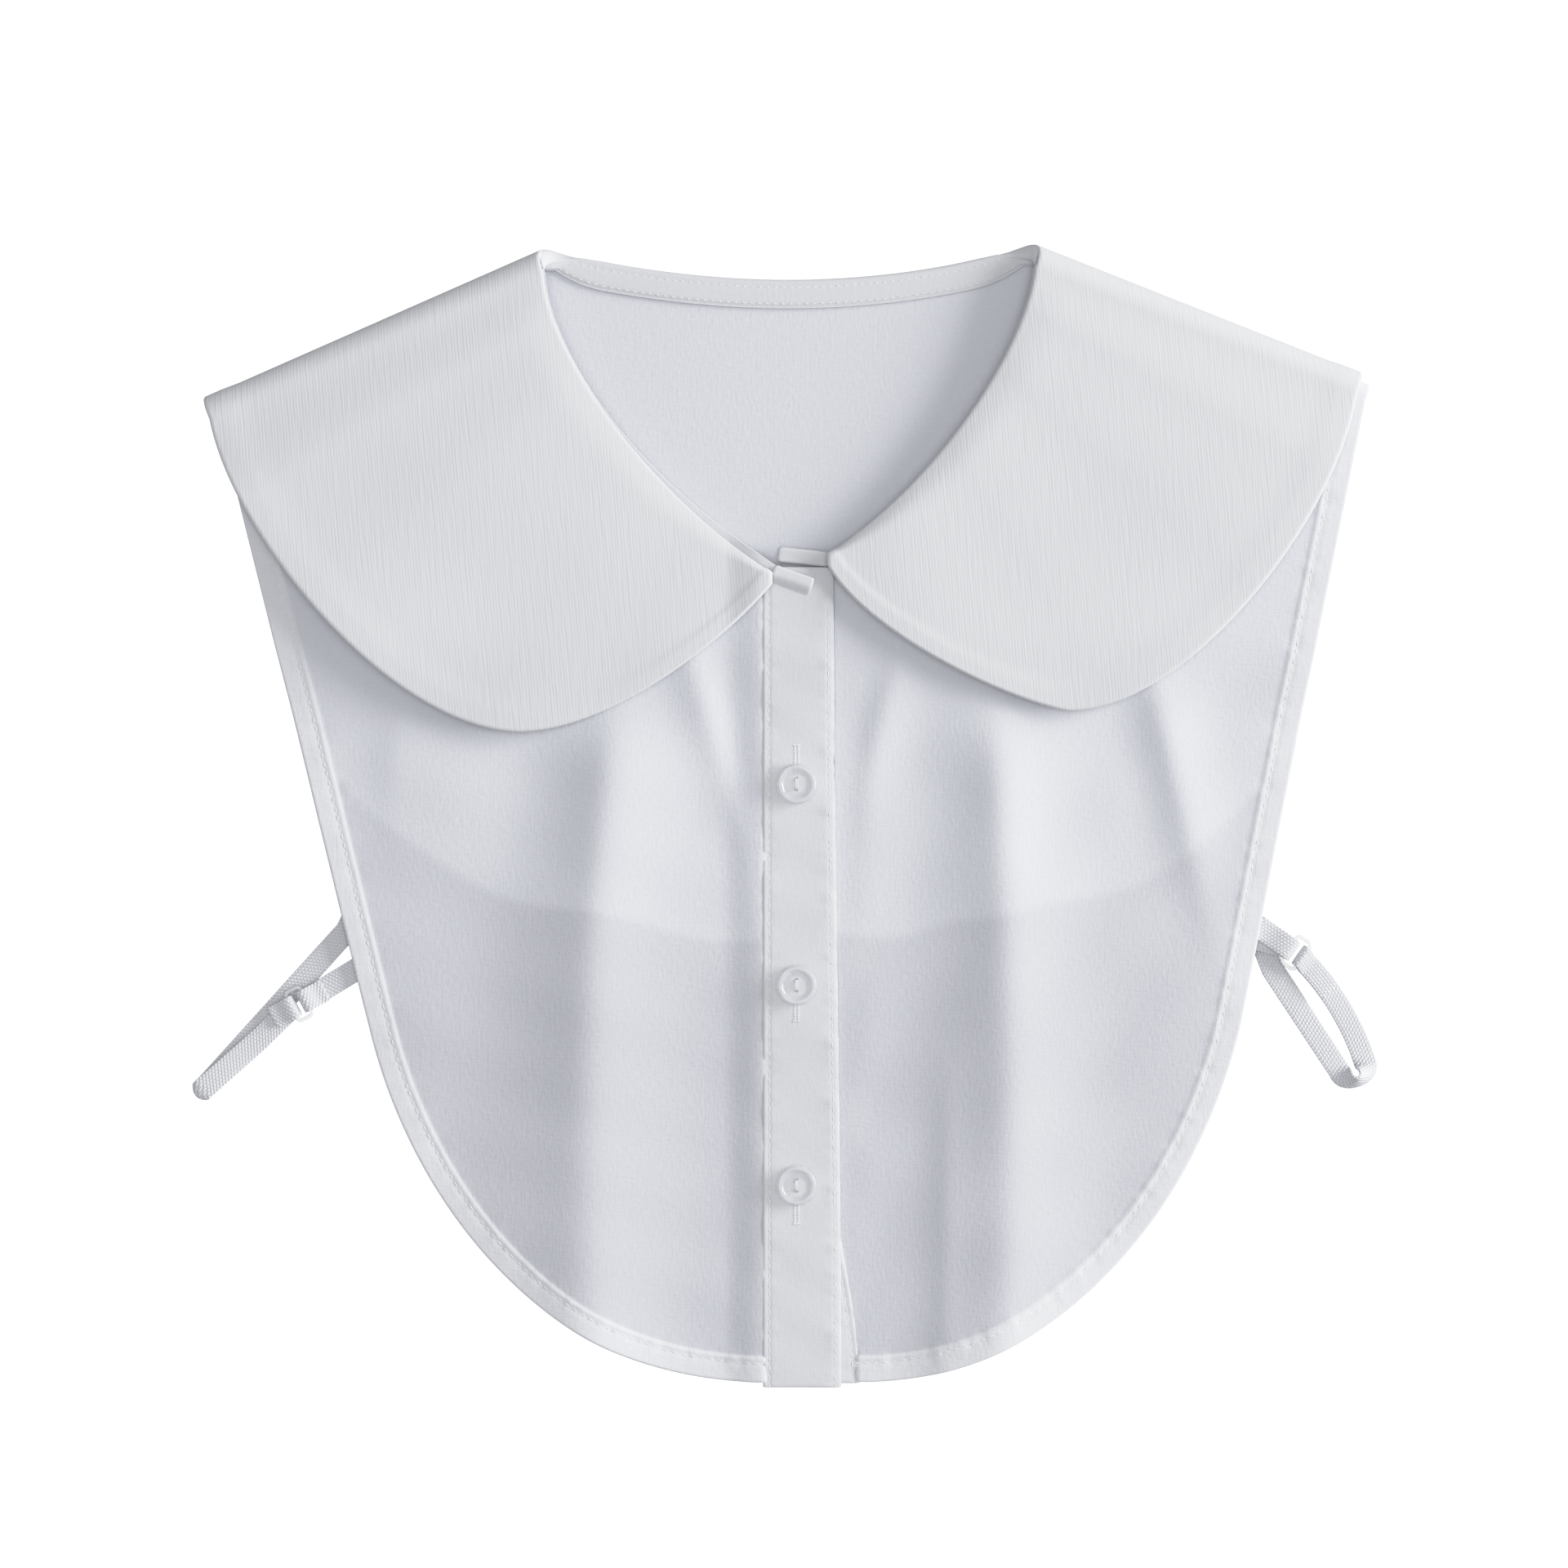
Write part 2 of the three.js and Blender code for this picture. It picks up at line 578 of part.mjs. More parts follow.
// The placket and the button stand beneath it share their rows down the opening
function openingBand(left, right, bottom, lift, thickness) {
  const rows = evenly(24).map((share) => {
    const y = -lerp(OPENING_TOP, bottom, share);
    const ends = [left, right(y)].map((x) => new THREE.Vector2(x, y));
    return across(...ends, evenly(2), (x, at) => frontBase(x, at) + foldHeight(x, at) + lift);
  });
  return sheet(rows, thickness);
}

// The folded end of the neck band at the front
function neckTab(side) {
  const { x, down, turn, length, width, high } = side.tab;
  const front = frontPoint(side);
  const start = new THREE.Vector2(front.x + x, front.y - down);
  const way = new THREE.Vector2(Math.cos(degToRad(turn)), Math.sin(degToRad(turn)));
  const height = frontBase(front.x, front.y) + high;
  const rows = evenly(3).map((share) => {
    const at = start.clone().addScaledVector(way, share * length);
    return [width / 2, -width / 2].map(
      (far) => new THREE.Vector3(at.x - way.y * far, at.y + way.x * far, height),
    );
  });
  return sheet(rows, TAB_CLOTH);
}

const { Manifold, CrossSection } = wasm;

function fromManifold(solid) {
  const mesh = solid.getMesh();
  const geometry = new THREE.BufferGeometry();
  geometry.setAttribute("position", new THREE.BufferAttribute(mesh.vertProperties, mesh.numProp));
  geometry.setIndex(new THREE.BufferAttribute(mesh.triVerts, 1));
  return geometry;
}

// A button with a rounded rim, a dished middle and two holes one above the other
function button() {
  const radius = BUTTON_DIAMETER / 2;
  const dish = BUTTON_THICKNESS - BUTTON_DISH;
  const profile = [
    [0, 0],
    [radius - 0.9, 0],
    [radius - 0.2, 0.5],
    [radius, 0.5 * BUTTON_THICKNESS],
    [radius - 0.25, BUTTON_THICKNESS - 0.4],
    [radius - 0.7, BUTTON_THICKNESS],
    [radius - BUTTON_RIM, BUTTON_THICKNESS - 0.1],
    [radius - BUTTON_RIM - 0.6, dish],
    [0, dish],
  ];
  const disc = Manifold.revolve(new CrossSection([profile]), 26);
  const holes = [-0.5, 0.5].map((way) =>
    Manifold.cylinder(BUTTON_THICKNESS + 2, BUTTON_HOLE / 2, BUTTON_HOLE / 2, 8).translate([
      0,
      way * BUTTON_HOLE_SPACING,
      -1,
    ]),
  );
  return fromManifold(disc.subtract(Manifold.union(holes)));
}

// Strap rows: a point of the centre line and the way that the strap's width points
function ribbon(stations) {
  const rows = stations.map(({ at, side }) =>
    [-0.5, 0.5].map((way) => at.clone().addScaledVector(side, way * STRAP_WIDTH)),
  );
  return sheet(rows, STRAP_CLOTH);
}

const strapMid = STRAP_CLOTH / 2;
const strapAbove = STRAP_CLOTH + SEAM + strapMid; // the middle of a strap that crosses over another
const wrap = RING_WIRE / 2 + BAR_GAP + strapMid; // from a bar's centre to the middle of the strap round it
const ringHeight = strapAbove + wrap;

function heading(degrees, high = 0) {
  const angle = degToRad(degrees);
  return new THREE.Vector3(Math.cos(angle), Math.sin(angle), high);
}

// Round a bar of the ring from below, and back above the strap that came in. way is the heading of
// the strap on its way to the bar.
function roundBar(ring, way) {
  const side = heading(way + 90);
  const bar = ring.clone().addScaledVector(heading(way), -RING_BARS / 2);
  const turn = evenly(8).map((share) => {
    const angle = (share - 0.5) * HALF_TURN;
    const at = bar.clone().addScaledVector(heading(way), wrap * Math.cos(angle));
    at.z = ringHeight + wrap * Math.sin(angle);
    return { at, side };
  });
  const end = bar.clone().addScaledVector(heading(way), -FOLD_BACK);
  end.z = strapAbove + STRAP_CLOTH + BAR_GAP;
  return [...turn, { at: end, side }];
}

// Where a loop starts, just off the edge of the back panel
function strapStart(side) {
  const at = spaced(inward(side, backEdge(side), -STRAP_GAP), 200)[Math.round(200 * STRAP_FROM)];
  return new THREE.Vector3(at.x, at.y, strapMid);
}

// Plan places of each side's strap, as shares of the bib's half width and length: where it leaves the
// hem, where it turns, where its ring lies and where its tab starts. Headings are in degrees.
const LOOPS = {
  left: {
    exit: [-1.055, 0.603],
    end: [-1.372, 0.738],
    ring: [-1.16, 0.666],
    tab: [-1.005, 0.63],
  },
  right: {
    exit: [1.074, 0.635],
    end: [1.26, 0.723],
    ring: [1.127, 0.621],
    tab: [1.012, 0.607],
  },
};
const RING_HEADING = { left: -152, right: -35 };

function loopPlace([x, down], z = 0) {
  return new THREE.Vector3(BIB_OFFSET + x * BIB_HALF_WIDTH, -down * BIB_LENGTH, z);
}

function headingOf(from, to) {
  return THREE.MathUtils.radToDeg(Math.atan2(to.y - from.y, to.x - from.x));
}

// The left loop lies folded flat on itself, and its fold stands open a little
function leftElastic() {
  const { exit, end, ring } = LOOPS.left;
  const [out, fold, hold] = [exit, end, ring].map((place) => loopPlace(place));
  const way = headingOf(out, fold);
  const back = headingOf(hold, fold);
  const start = strapStart(LEFT);
  const stations = [{ at: start, side: heading(headingOf(start, out) + 90) }];
  stations.push({ at: out.clone().setZ(strapMid), side: heading(way + 90) });
  for (const share of evenly(8)) {
    const angle = (share - 0.5) * HALF_TURN;
    const at = fold.clone().addScaledVector(heading(way), LOOP_FOLD * (Math.cos(angle) - 1));
    at.z = strapMid + LOOP_FOLD * (1 + Math.sin(angle));
    stations.push({ at, side: heading(lerp(way, back, share) + 90) });
  }
  for (const share of [0.3, 0.6]) {
    const at = fold.clone().lerp(hold, share);
    at.z = lerp(strapMid + 2 * LOOP_FOLD, strapAbove, smoothstep(share, 0, 0.6));
    stations.push({ at, side: heading(lerp(back, RING_HEADING.left, share) + 90) });
  }
  return ribbon([...stations, ...flip(roundBar(hold, RING_HEADING.left + 180))]);
}

// The same stations with the width pointing the other way
function flip(stations) {
  return stations.map(({ at, side }) => ({ at, side: side.clone().negate() }));
}

// The right loop turns in the plan, and the strap stands up on its outer edge in the turn
function rightElastic() {
  const { exit, end, ring } = LOOPS.right;
  const [out, turn, hold] = [exit, end, ring].map((place) => loopPlace(place));
  const start = strapStart(RIGHT);
  const stations = [{ at: start, side: heading(headingOf(start, out) + 90) }];
  const first = turn.clone().addScaledVector(heading(LOOP_FROM), LOOP_TURN);
  const way = headingOf(out, first);
  stations.push({ at: out.clone().setZ(strapMid), side: heading(way + 90) });
  for (const share of evenly(10)) {
    const bank = degToRad(LOOP_BANK) * Math.sin(share * HALF_TURN);
    const angle = LOOP_FROM + 180 * share;
    const at = turn.clone().addScaledVector(heading(angle), LOOP_TURN);
    at.z = strapMid + (STRAP_WIDTH / 2) * Math.sin(bank);
    const side = heading(angle + 180).multiplyScalar(Math.cos(bank)).setZ(Math.sin(bank));
    stations.push({ at, side });
  }
  const last = stations[stations.length - 1].at;
  for (const share of [0.3, 0.6, 0.85]) {
    const at = last.clone().lerp(hold, share);
    at.addScaledVector(heading(30), 4 * share * (1 - share) * LOOP_BOW);
    at.z = lerp(strapMid, strapAbove, smoothstep(share, 0.3, 0.85));
    stations.push({ at, side: heading(lerp(LOOP_FROM, RING_HEADING.right + 270, share)) });
  }
  return ribbon([...stations, ...roundBar(hold, RING_HEADING.right + 180)]);
}

// The short strap from under the front hem, round the ring's inner bar and stitched back on itself
function elasticTab(loop, way) {
  const ring = loopPlace(loop.ring);
  const hem = loopPlace(loop.tab);
  const towards = headingOf(hem, ring);
  const at = hem.clone().addScaledVector(heading(towards), -TAB_UNDER_HEM);
  const start = { at: at.setZ(strapAbove), side: heading(towards + 90) };
  return ribbon([start, ...roundBar(ring, way)]);
}

// A rounded oblong of clear round wire
function ring(loop, way) {
  const long = STRAP_WIDTH + 2 * RING_SLACK + RING_WIRE;
  const round = RING_CORNER;
  const [x, y] = [RING_BARS / 2, long / 2];
  const outline = new THREE.Shape();
  outline.moveTo(x, -y + round);
  outline.lineTo(x, y - round);
  outline.absarc(x - round, y - round, round, 0, HALF_TURN / 2);
  outline.lineTo(-x + round, y);
  outline.absarc(-x + round, y - round, round, HALF_TURN / 2, HALF_TURN);
  outline.lineTo(-x, -y + round);
  outline.absarc(-x + round, -y + round, round, HALF_TURN, 1.5 * HALF_TURN);
  outline.lineTo(x - round, -y);
  outline.absarc(x - round, -y + round, round, 1.5 * HALF_TURN, 2 * HALF_TURN);
  const points = outline.getSpacedPoints(28).slice(0, -1);
  const path = new THREE.CatmullRomCurve3(points.map((at) => new THREE.Vector3(at.x, at.y, 0)), true);
  const geometry = new THREE.TubeGeometry(path, 28, RING_WIRE / 2, 6, true);
  geometry.rotateZ(degToRad(way));
  const at = loopPlace(loop.ring, ringHeight);
  return geometry.translate(at.x, at.y, at.z);
}

const group = new THREE.Group();

function add(name, geometry, material) {
  const mesh = new THREE.Mesh(geometry, new THREE.MeshStandardMaterial({ metalness: 0, ...material }));
  mesh.name = name;
  group.add(mesh);
}

const collarCloth = { color: "#e4e5e9", roughness: 0.9 };
const bibCloth = { color: "#dcdde4", roughness: 0.9 };
const foldedCloth = { color: "#e6e7ea", roughness: 0.9 };
const elastic = { color: "#cfd2da", roughness: 0.8 };
const clear = { color: "#eef1f4", roughness: 0.15 };

add("collar", collar(), collarCloth);
add("neck_band", neckBand(), foldedCloth);
add("neck_tab_left", neckTab(LEFT), foldedCloth);
add("neck_tab_right", neckTab(RIGHT), foldedCloth);
add("front_bib_left", frontBib(LEFT), bibCloth);
add("front_bib_right", frontBib(RIGHT), bibCloth);
add("back_bib", backBib(), bibCloth);
const placketFoot = BIB_LENGTH + PLACKET_DROP;
const placketTop = openingBand(PLACKET_LEFT, placketEdge, placketFoot, overlapLift, PLACKET_CLOTH);
add("placket_top", placketTop, foldedCloth);
const standLeft = PLACKET_LEFT + STAND_INSET;
add("placket_under", openingBand(standLeft, standRight, BIB_LENGTH, 0, STAND_CLOTH), foldedCloth);
for (let i = 0; i < BUTTON_COUNT; i++) {
  const y = -FIRST_BUTTON - i * BUTTON_PITCH;
  const z = frontBase(BUTTON_X, y) + overlapLift + PLACKET_CLOTH / 2 + SEAM;
  add(`button_${i + 1}`, button().translate(BUTTON_X, y, z), clear);
}
add("elastic_left", leftElastic(), elastic);
add("elastic_right", rightElastic(), elastic);
add("elastic_tab_left", elasticTab(LOOPS.left, RING_HEADING.left), elastic);
add("elastic_tab_right", elasticTab(LOOPS.right, RING_HEADING.right), elastic);
add("ring_left", ring(LOOPS.left, RING_HEADING.left), clear);
add("ring_right", ring(LOOPS.right, RING_HEADING.right), clear);

// The origin is the middle of the base
group.updateMatrixWorld(true);
const box = new THREE.Box3().setFromObject(group);
const middle = box.getCenter(new THREE.Vector3());
for (const mesh of group.children) mesh.geometry.translate(-middle.x, -middle.y, -box.min.z);

export default group;
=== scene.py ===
# %% [markdown]
# A detachable collar, laid flat
#
# A white collar with two rounded lobes sits on a short buttoned bib, so that it can be worn under a
# jumper as if it were a whole blouse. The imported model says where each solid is. This lesson gives
# every solid its cloth: its turned edges, its stitches, its folds and its finish.

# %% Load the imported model
import math

import bpy
import numpy as np
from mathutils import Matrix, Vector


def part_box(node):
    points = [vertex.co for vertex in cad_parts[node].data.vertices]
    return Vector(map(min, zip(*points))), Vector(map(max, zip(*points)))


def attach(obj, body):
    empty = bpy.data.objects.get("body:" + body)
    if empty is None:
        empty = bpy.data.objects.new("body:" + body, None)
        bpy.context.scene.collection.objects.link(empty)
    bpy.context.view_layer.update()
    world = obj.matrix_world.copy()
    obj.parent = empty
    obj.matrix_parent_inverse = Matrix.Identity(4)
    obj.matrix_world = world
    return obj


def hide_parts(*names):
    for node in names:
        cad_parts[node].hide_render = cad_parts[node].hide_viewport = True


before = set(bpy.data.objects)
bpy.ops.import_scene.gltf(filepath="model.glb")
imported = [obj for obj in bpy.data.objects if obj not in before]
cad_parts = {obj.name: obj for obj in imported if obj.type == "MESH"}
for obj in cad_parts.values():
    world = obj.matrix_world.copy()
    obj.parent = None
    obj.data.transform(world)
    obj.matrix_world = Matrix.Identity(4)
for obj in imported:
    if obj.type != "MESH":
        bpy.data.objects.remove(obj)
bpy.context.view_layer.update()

# %% [markdown]
# The sizes
#
# Every length below is the real one in millimetres, measured on the garment: how wide the neck is,
# how far the bib hangs, how thick each cloth is. They are the same sizes as the solids were made
# from, so each finer piece lies exactly where its solid lies. Write such numbers once, with a name,
# and the whole garment can be changed from here.

# %% Sizes of the cloths, the neck and the shoulders
MM = 0.001
BIB_CLOTH = 1.0
EDGE_CLOTH = 1.6
COLLAR_CLOTH = 2.0
PLACKET_CLOTH = 1.4
STAND_CLOTH = 1.2
BAND_CLOTH = 1.2
TAB_CLOTH = 1.6
SEAM = 0.35

NECK_WIDTH = 139
FRONT_NECK_DROP = 91
BACK_NECK_DROP = 10.6
SHOULDER_SLOPE = 22.7
SHOULDER_TURN = 7
SHOULDER_HEIGHT = 13
SHOULDER_EASE = 95
NECK_FRONT_ALONG = 3
NECK_BACK_ALONG = -7.8
SEAM_TURN = 0.03

# %% Sizes of the collar, the bib and the opening
COLLAR_SHOULDER = 102
LOBE_DROP = 134
COLLAR_BACK = 98
COLLAR_STEP = 28
COLLAR_BACK_INSET = 2
COLLAR_BACK_TAPER = 6
COLLAR_FRONT_EDGE = 2.5
COLLAR_LIFT = 5
NECK_ROLL = 0.09

BIB_SHOULDER = 102.7
BIB_LENGTH = 321.3
BIB_HALF_WIDTH = 123.3
BIB_OFFSET = 4.5
BACK_LENGTH = 195
BACK_INSET = 2
HEM_WIDTH = 7.5
BAND_WIDTH = 7
FRONT_BAND_WIDTH = 5
INSIDE_ROOM = 1.4

PLACKET_LEFT = -7.1
PLACKET_WIDTH = 19.6
PLACKET_FLARE = 2.2
PLACKET_DROP = 1
PLACKET_TOP = 91
JOIN_UNDER = 0.5
STAND_SHOWS = 5.5
STAND_INSET = 3
OPENING_TOP = 92.6
LAP_EASE = 11

# %% Sizes of the buttons and the elastic loops
BUTTON_DIAMETER = 11.5
BUTTON_THICKNESS = 2.4
BUTTON_RIM = 1.5
BUTTON_DISH = 0.7
BUTTON_HOLE = 1.3
BUTTON_HOLE_SPACING = 2.8
BUTTON_COUNT = 3
BUTTON_X = 2.2
FIRST_BUTTON = 151.8
BUTTON_PITCH = 56.7

STRAP_WIDTH = 6.5
STRAP_CLOTH = 1.0
RING_WIRE = 1.2
RING_BARS = 4.6
RING_SLACK = 0.6
RING_CORNER = 1.2
STRAP_FROM = 0.515
FOLD_BACK = 6
TAB_UNDER_HEM = 5
LOOP_TURN = 3.8
LOOP_FROM = 198
LOOP_BANK = 62
LOOP_FOLD = 1.5
LOOP_BOW = 2.4
LOOP_BULGE = 1.7
BAR_GAP = 0.3
TURNED_BACK = {"left": 6, "right": 11}
STRAP_GAP = 0.6

half_neck = NECK_WIDTH / 2
placket_right = PLACKET_LEFT + PLACKET_WIDTH
collar_offset = EDGE_CLOTH / 2 + SEAM + COLLAR_CLOTH / 2
shoulder_top = SHOULDER_HEIGHT - COLLAR_CLOTH / 2 - collar_offset
shoulder_bottom = COLLAR_CLOTH / 2 + collar_offset
on_table = EDGE_CLOTH / 2
layer = EDGE_CLOTH + INSIDE_ROOM
overlap_lift = STAND_CLOTH / 2 + SEAM + PLACKET_CLOTH / 2
band_offset = BIB_CLOTH / 2 + SEAM + BAND_CLOTH / 2

# %% [markdown]
# Two sides that aren't quite alike
#
# A garment that somebody lays on a table never lies as its own mirror image. Each side has its own
# small table: the handles and ends of its curves, as shares of the sizes above, and how far its
# lobe stands off the bib at places between the front point (0) and the shoulder (1).

# %% The two sides
LEFT = {
    "sign": -1,
    "rise": -0.7,
    "slope": 1.048,
    "shoulder": 1.027,
    "peek": 2.6,
    "neck": [(0.986, 0.329), (0.599, 0.758), (0.076, 1.021)],
    "edge": [(0.956, 0.601), (0.693, 1.013), (0.469, 1.022), (0.319, 1.022), (0.121, 0.841)],
    "lift_at": [0, 0.25, 0.45, 0.7, 0.88, 1],
    "lift_neck": [0.3, 0.35, 0.4, 0.35, 0.2, 0],
    "lift_edge": [0.3, 0.45, 0.6, 0.9, 0.5, 0],
}
RIGHT = {
    "sign": 1,
    "rise": 0.7,
    "slope": 0.952,
    "shoulder": 0.975,
    "peek": 0.6,
    "neck": [(0.957, 0.354), (0.576, 0.758), (0.165, 0.963)],
    "edge": [(0.937, 0.584), (0.683, 0.978), (0.481, 0.978), (0.352, 0.944), (0.133, 0.807)],
    "lift_at": [0, 0.2, 0.45, 0.7, 0.88, 1],
    "lift_neck": [0.5, 0.6, 0.5, 0.3, 0.2, 0],
    "lift_edge": [0.5, 0.65, 0.5, 0.5, 0.3, 0],
}

# %% [markdown]
# Heights
#
# The garment is a stack: back panel on the table, front panels above it, collar on top. A cloth
# lying flat is best described as a height over its plan, so each layer is a function of x and y.
# The folds of the bib are soft ridges: a crest that runs down the cloth and a slope at each side.
# NumPy works on a whole grid of points in one step, which keeps these functions short and fast.


# %% Height functions
def smoothstep(x, low, high):
    share = np.clip((x - low) / (high - low), 0, 1)
    return share * share * (3 - 2 * share)


def lerp(a, b, share):
    return a + (b - a) * share


def bell(distance, width):
    """1 at no distance, dying away smoothly on both sides."""
    return np.exp(-((distance / width) ** 2))


def eased(at, places, values):
    """Reads a small table with a smooth step from each row to the next."""
    places, values = np.asarray(places, float), np.asarray(values, float)
    i = np.clip(np.searchsorted(places, at), 1, len(places) - 1)
    return lerp(values[i - 1], values[i], smoothstep(at, places[i - 1], places[i]))


def shoulder_point(side, along, depth):
    """A plan point along the shoulder fold from the neck corner, and a depth below the fold."""
    slope = math.radians(SHOULDER_SLOPE * side["slope"])
    x = half_neck + along * math.cos(slope) - depth * math.sin(slope)
    y = side["rise"] - along * math.sin(slope) - depth * math.cos(slope)
    return np.stack(np.broadcast_arrays(side["sign"] * x, y), axis=-1)


def depth_below_shoulder(x, y):
    """How far a plan point lies below the shoulder fold of its own side."""
    slope = np.radians(SHOULDER_SLOPE * np.where(x < 0, LEFT["slope"], RIGHT["slope"]))
    rise = np.where(x < 0, LEFT["rise"], RIGHT["rise"])
    return -(np.abs(x) - half_neck) * np.sin(slope) - (y - rise) * np.cos(slope)


def back_height(x, y):
    edge = BACK_NECK_DROP + COLLAR_BACK
    return lerp(shoulder_bottom, on_table, smoothstep(-y, edge, edge + COLLAR_STEP)) + 0 * x


def front_base(x, y):
    past_straps = smoothstep(-y, 0.64 * BIB_LENGTH, 0.78 * BIB_LENGTH)
    rest = back_height(x, y) + layer * (1 - past_straps)
    depth = depth_below_shoulder(x, y)
    slope = 1 - smoothstep(depth, SHOULDER_TURN, SHOULDER_TURN + SHOULDER_EASE)
    return np.maximum(rest, lerp(rest, shoulder_top, slope))


def lap_lift(side, x):
    """The left front laps over the right one, so it stands higher near the opening."""
    lifted = overlap_lift * smoothstep(x, PLACKET_LEFT - LAP_EASE, PLACKET_LEFT)
    return lifted if side is LEFT else 0 * x


# %% The folds of the bib
# x and y: the crest's place at three heights. left and right: the widths of its two slopes at the
# top and at the foot, as shares of the bib's half width. high: in cloths. foot: what is left below.
FOLD_KEYS = ("x", "y", "left", "right", "high", "foot")
FOLD_ROWS = [
    ((-0.43, -0.49, -0.497), (0.42, 0.68, 1.02), (0.25, 0.42), (0.33, 0.36), 5.2, 1.0),
    ((-0.265, -0.175, -0.07), (0.35, 0.48, 0.61), (0.13, 0.13), (0.09, 0.09), 1.7, 0),
    ((-0.91, -0.94, -0.87), (0.4, 0.47, 0.6), (0.14, 0.14), (0.26, 0.26), 1.4, 0),
    ((0.44, 0.465, 0.445), (0.42, 0.68, 1.02), (0.24, 0.38), (0.24, 0.31), 5.0, 1.0),
    ((0.8, 0.87, 0.98), (0.38, 0.5, 0.68), (0.13, 0.13), (0.17, 0.17), 2.4, 0),
    ((0.22, 0.14, 0.1), (0.36, 0.48, 0.6), (0.08, 0.08), (0.15, 0.15), 1.5, 0),
    ((0.33, 0.325, 0.32), (0.74, 0.9, 1.02), (0.09, 0.09), (0.12, 0.12), 0.6, 1),
]
FOLDS = [dict(zip(FOLD_KEYS, row)) for row in FOLD_ROWS]
FOLD_FADE = 0.12
FOLD_ROUND = 0.16
FOLD_POWER = 2.6


def crest(fold, down):
    """A parabola through the three places of a fold's crest."""
    (a, b, c), (p, q, r) = fold["y"], fold["x"]
    return (
        p * (down - b) * (down - c) / ((a - b) * (a - c))
        + q * (down - a) * (down - c) / ((b - a) * (b - c))
        + r * (down - a) * (down - b) / ((c - a) * (c - b))
    )


def ridge(share):
    """A ridge that is steepest beside its rounded crest and runs out flat at both feet."""
    away = np.sqrt(share**2 + FOLD_ROUND**2) - FOLD_ROUND
    return np.clip(1 - away / (math.sqrt(1 + FOLD_ROUND**2) - FOLD_ROUND), 0, 1) ** FOLD_POWER


def fold_height(x, y):
    down = -y / BIB_LENGTH
    height = 0 * x
    for fold in FOLDS:
        away = (x - BIB_OFFSET) / BIB_HALF_WIDTH - crest(fold, down)
        top, end = fold["y"][0], fold["y"][2]
        left, right = [lerp(*fold[way], smoothstep(down, top, end)) for way in ("left", "right")]
        share = np.clip(away / np.where(away < 0, left, right), -1, 1)
        rises = smoothstep(down, top - FOLD_FADE / 2, top + FOLD_FADE / 2)
        dies = lerp(fold["foot"], 1, 1 - smoothstep(down, end - 2 * FOLD_FADE, end))
        height = height + fold["high"] * BIB_CLOTH * rises * dies * ridge(share)
    return height * smoothstep(np.abs(x - BIB_OFFSET), PLACKET_WIDTH / 2, PLACKET_WIDTH)


def slack(x, y, seed, shortest, longest, high):
    """Small uneven swells that a soft cloth keeps after it is smoothed by hand."""
    draw = np.random.default_rng(seed)
    total = 0 * x
    for _ in range(9):
        way, phase = draw.uniform(0, 2 * np.pi, 2)
        length = draw.uniform(shortest, longest)
        total = total + np.sin(2 * np.pi * (x * np.cos(way) + y * np.sin(way)) / length + phase)
    return high * total / 3


def front_height(side, x, y):
    return front_base(x, y) + fold_height(x, y) + lap_lift(side, x)


button_low, button_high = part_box("button_1")
shift_x = 1000 * (button_low[0] + button_high[0]) / 2 - BUTTON_X
shift_y = 1000 * (button_low[1] + button_high[1]) / 2 + FIRST_BUTTON
button_base = front_base(BUTTON_X, -FIRST_BUTTON) + overlap_lift + PLACKET_CLOTH / 2 + SEAM
shift_z = 1000 * button_low[2] - button_base
SHIFT = np.array([shift_x, shift_y, shift_z])
print("pattern to frame, mm:", SHIFT.round(3))

# %% [markdown]
# Pattern curves
#
# A dressmaker draws a pattern with a few smooth curves. So does this cell: each edge of the garment
# is a Bezier curve or two, read at many points and then spaced evenly, so that the rows of a
# piece's grid run across the cloth like its threads.


# %% Curves in the plan
FINE = 400


def bezier(*points):
    a, b, c, d = [np.asarray(point, float) for point in points]
    t = np.linspace(0, 1, FINE + 1)[:, None]
    return (1 - t) ** 3 * a + 3 * (1 - t) ** 2 * t * b + 3 * (1 - t) * t**2 * c + t**3 * d


def lengths_along(points):
    steps = np.linalg.norm(np.diff(points, axis=0), axis=1)
    return np.concatenate([[0], np.cumsum(steps)])


def spaced(points, count):
    """Points spaced evenly along a run of points."""
    lengths = lengths_along(points)
    at = np.linspace(0, lengths[-1], count + 1)
    return np.stack([np.interp(at, lengths, points[:, k]) for k in range(points.shape[1])], axis=1)


def inward(side, points, width):
    """A side's edge moved towards the middle of the garment."""
    last = len(points) - 1
    i = np.arange(last + 1)
    ahead = points[np.minimum(i + 1, last)] - points[np.maximum(i - 1, 0)]
    ahead /= np.linalg.norm(ahead, axis=1, keepdims=True)
    far = -side["sign"] * np.broadcast_to(width, last + 1)[:, None]
    return points + far * np.stack([-ahead[:, 1], ahead[:, 0]], axis=1)


def handles(side, across, down, rows):
    return [np.array([side["sign"] * row[0] * across, -row[1] * down]) for row in rows]


def front_point(side):
    return handles(side, half_neck, FRONT_NECK_DROP, side["neck"])[2]


def front_neck(side):
    start = shoulder_point(side, NECK_FRONT_ALONG, SHOULDER_TURN)
    return bezier(start, *handles(side, half_neck, FRONT_NECK_DROP, side["neck"]))


def back_neck(side):
    start = shoulder_point(side, NECK_BACK_ALONG, SHOULDER_TURN)
    near = (side["sign"] * half_neck * 0.68, -BACK_NECK_DROP * 0.65)
    far = (side["sign"] * half_neck * 0.35, -BACK_NECK_DROP)
    return bezier(start, near, far, (0, -BACK_NECK_DROP))


def collar_tip(side):
    return COLLAR_SHOULDER * side["shoulder"]


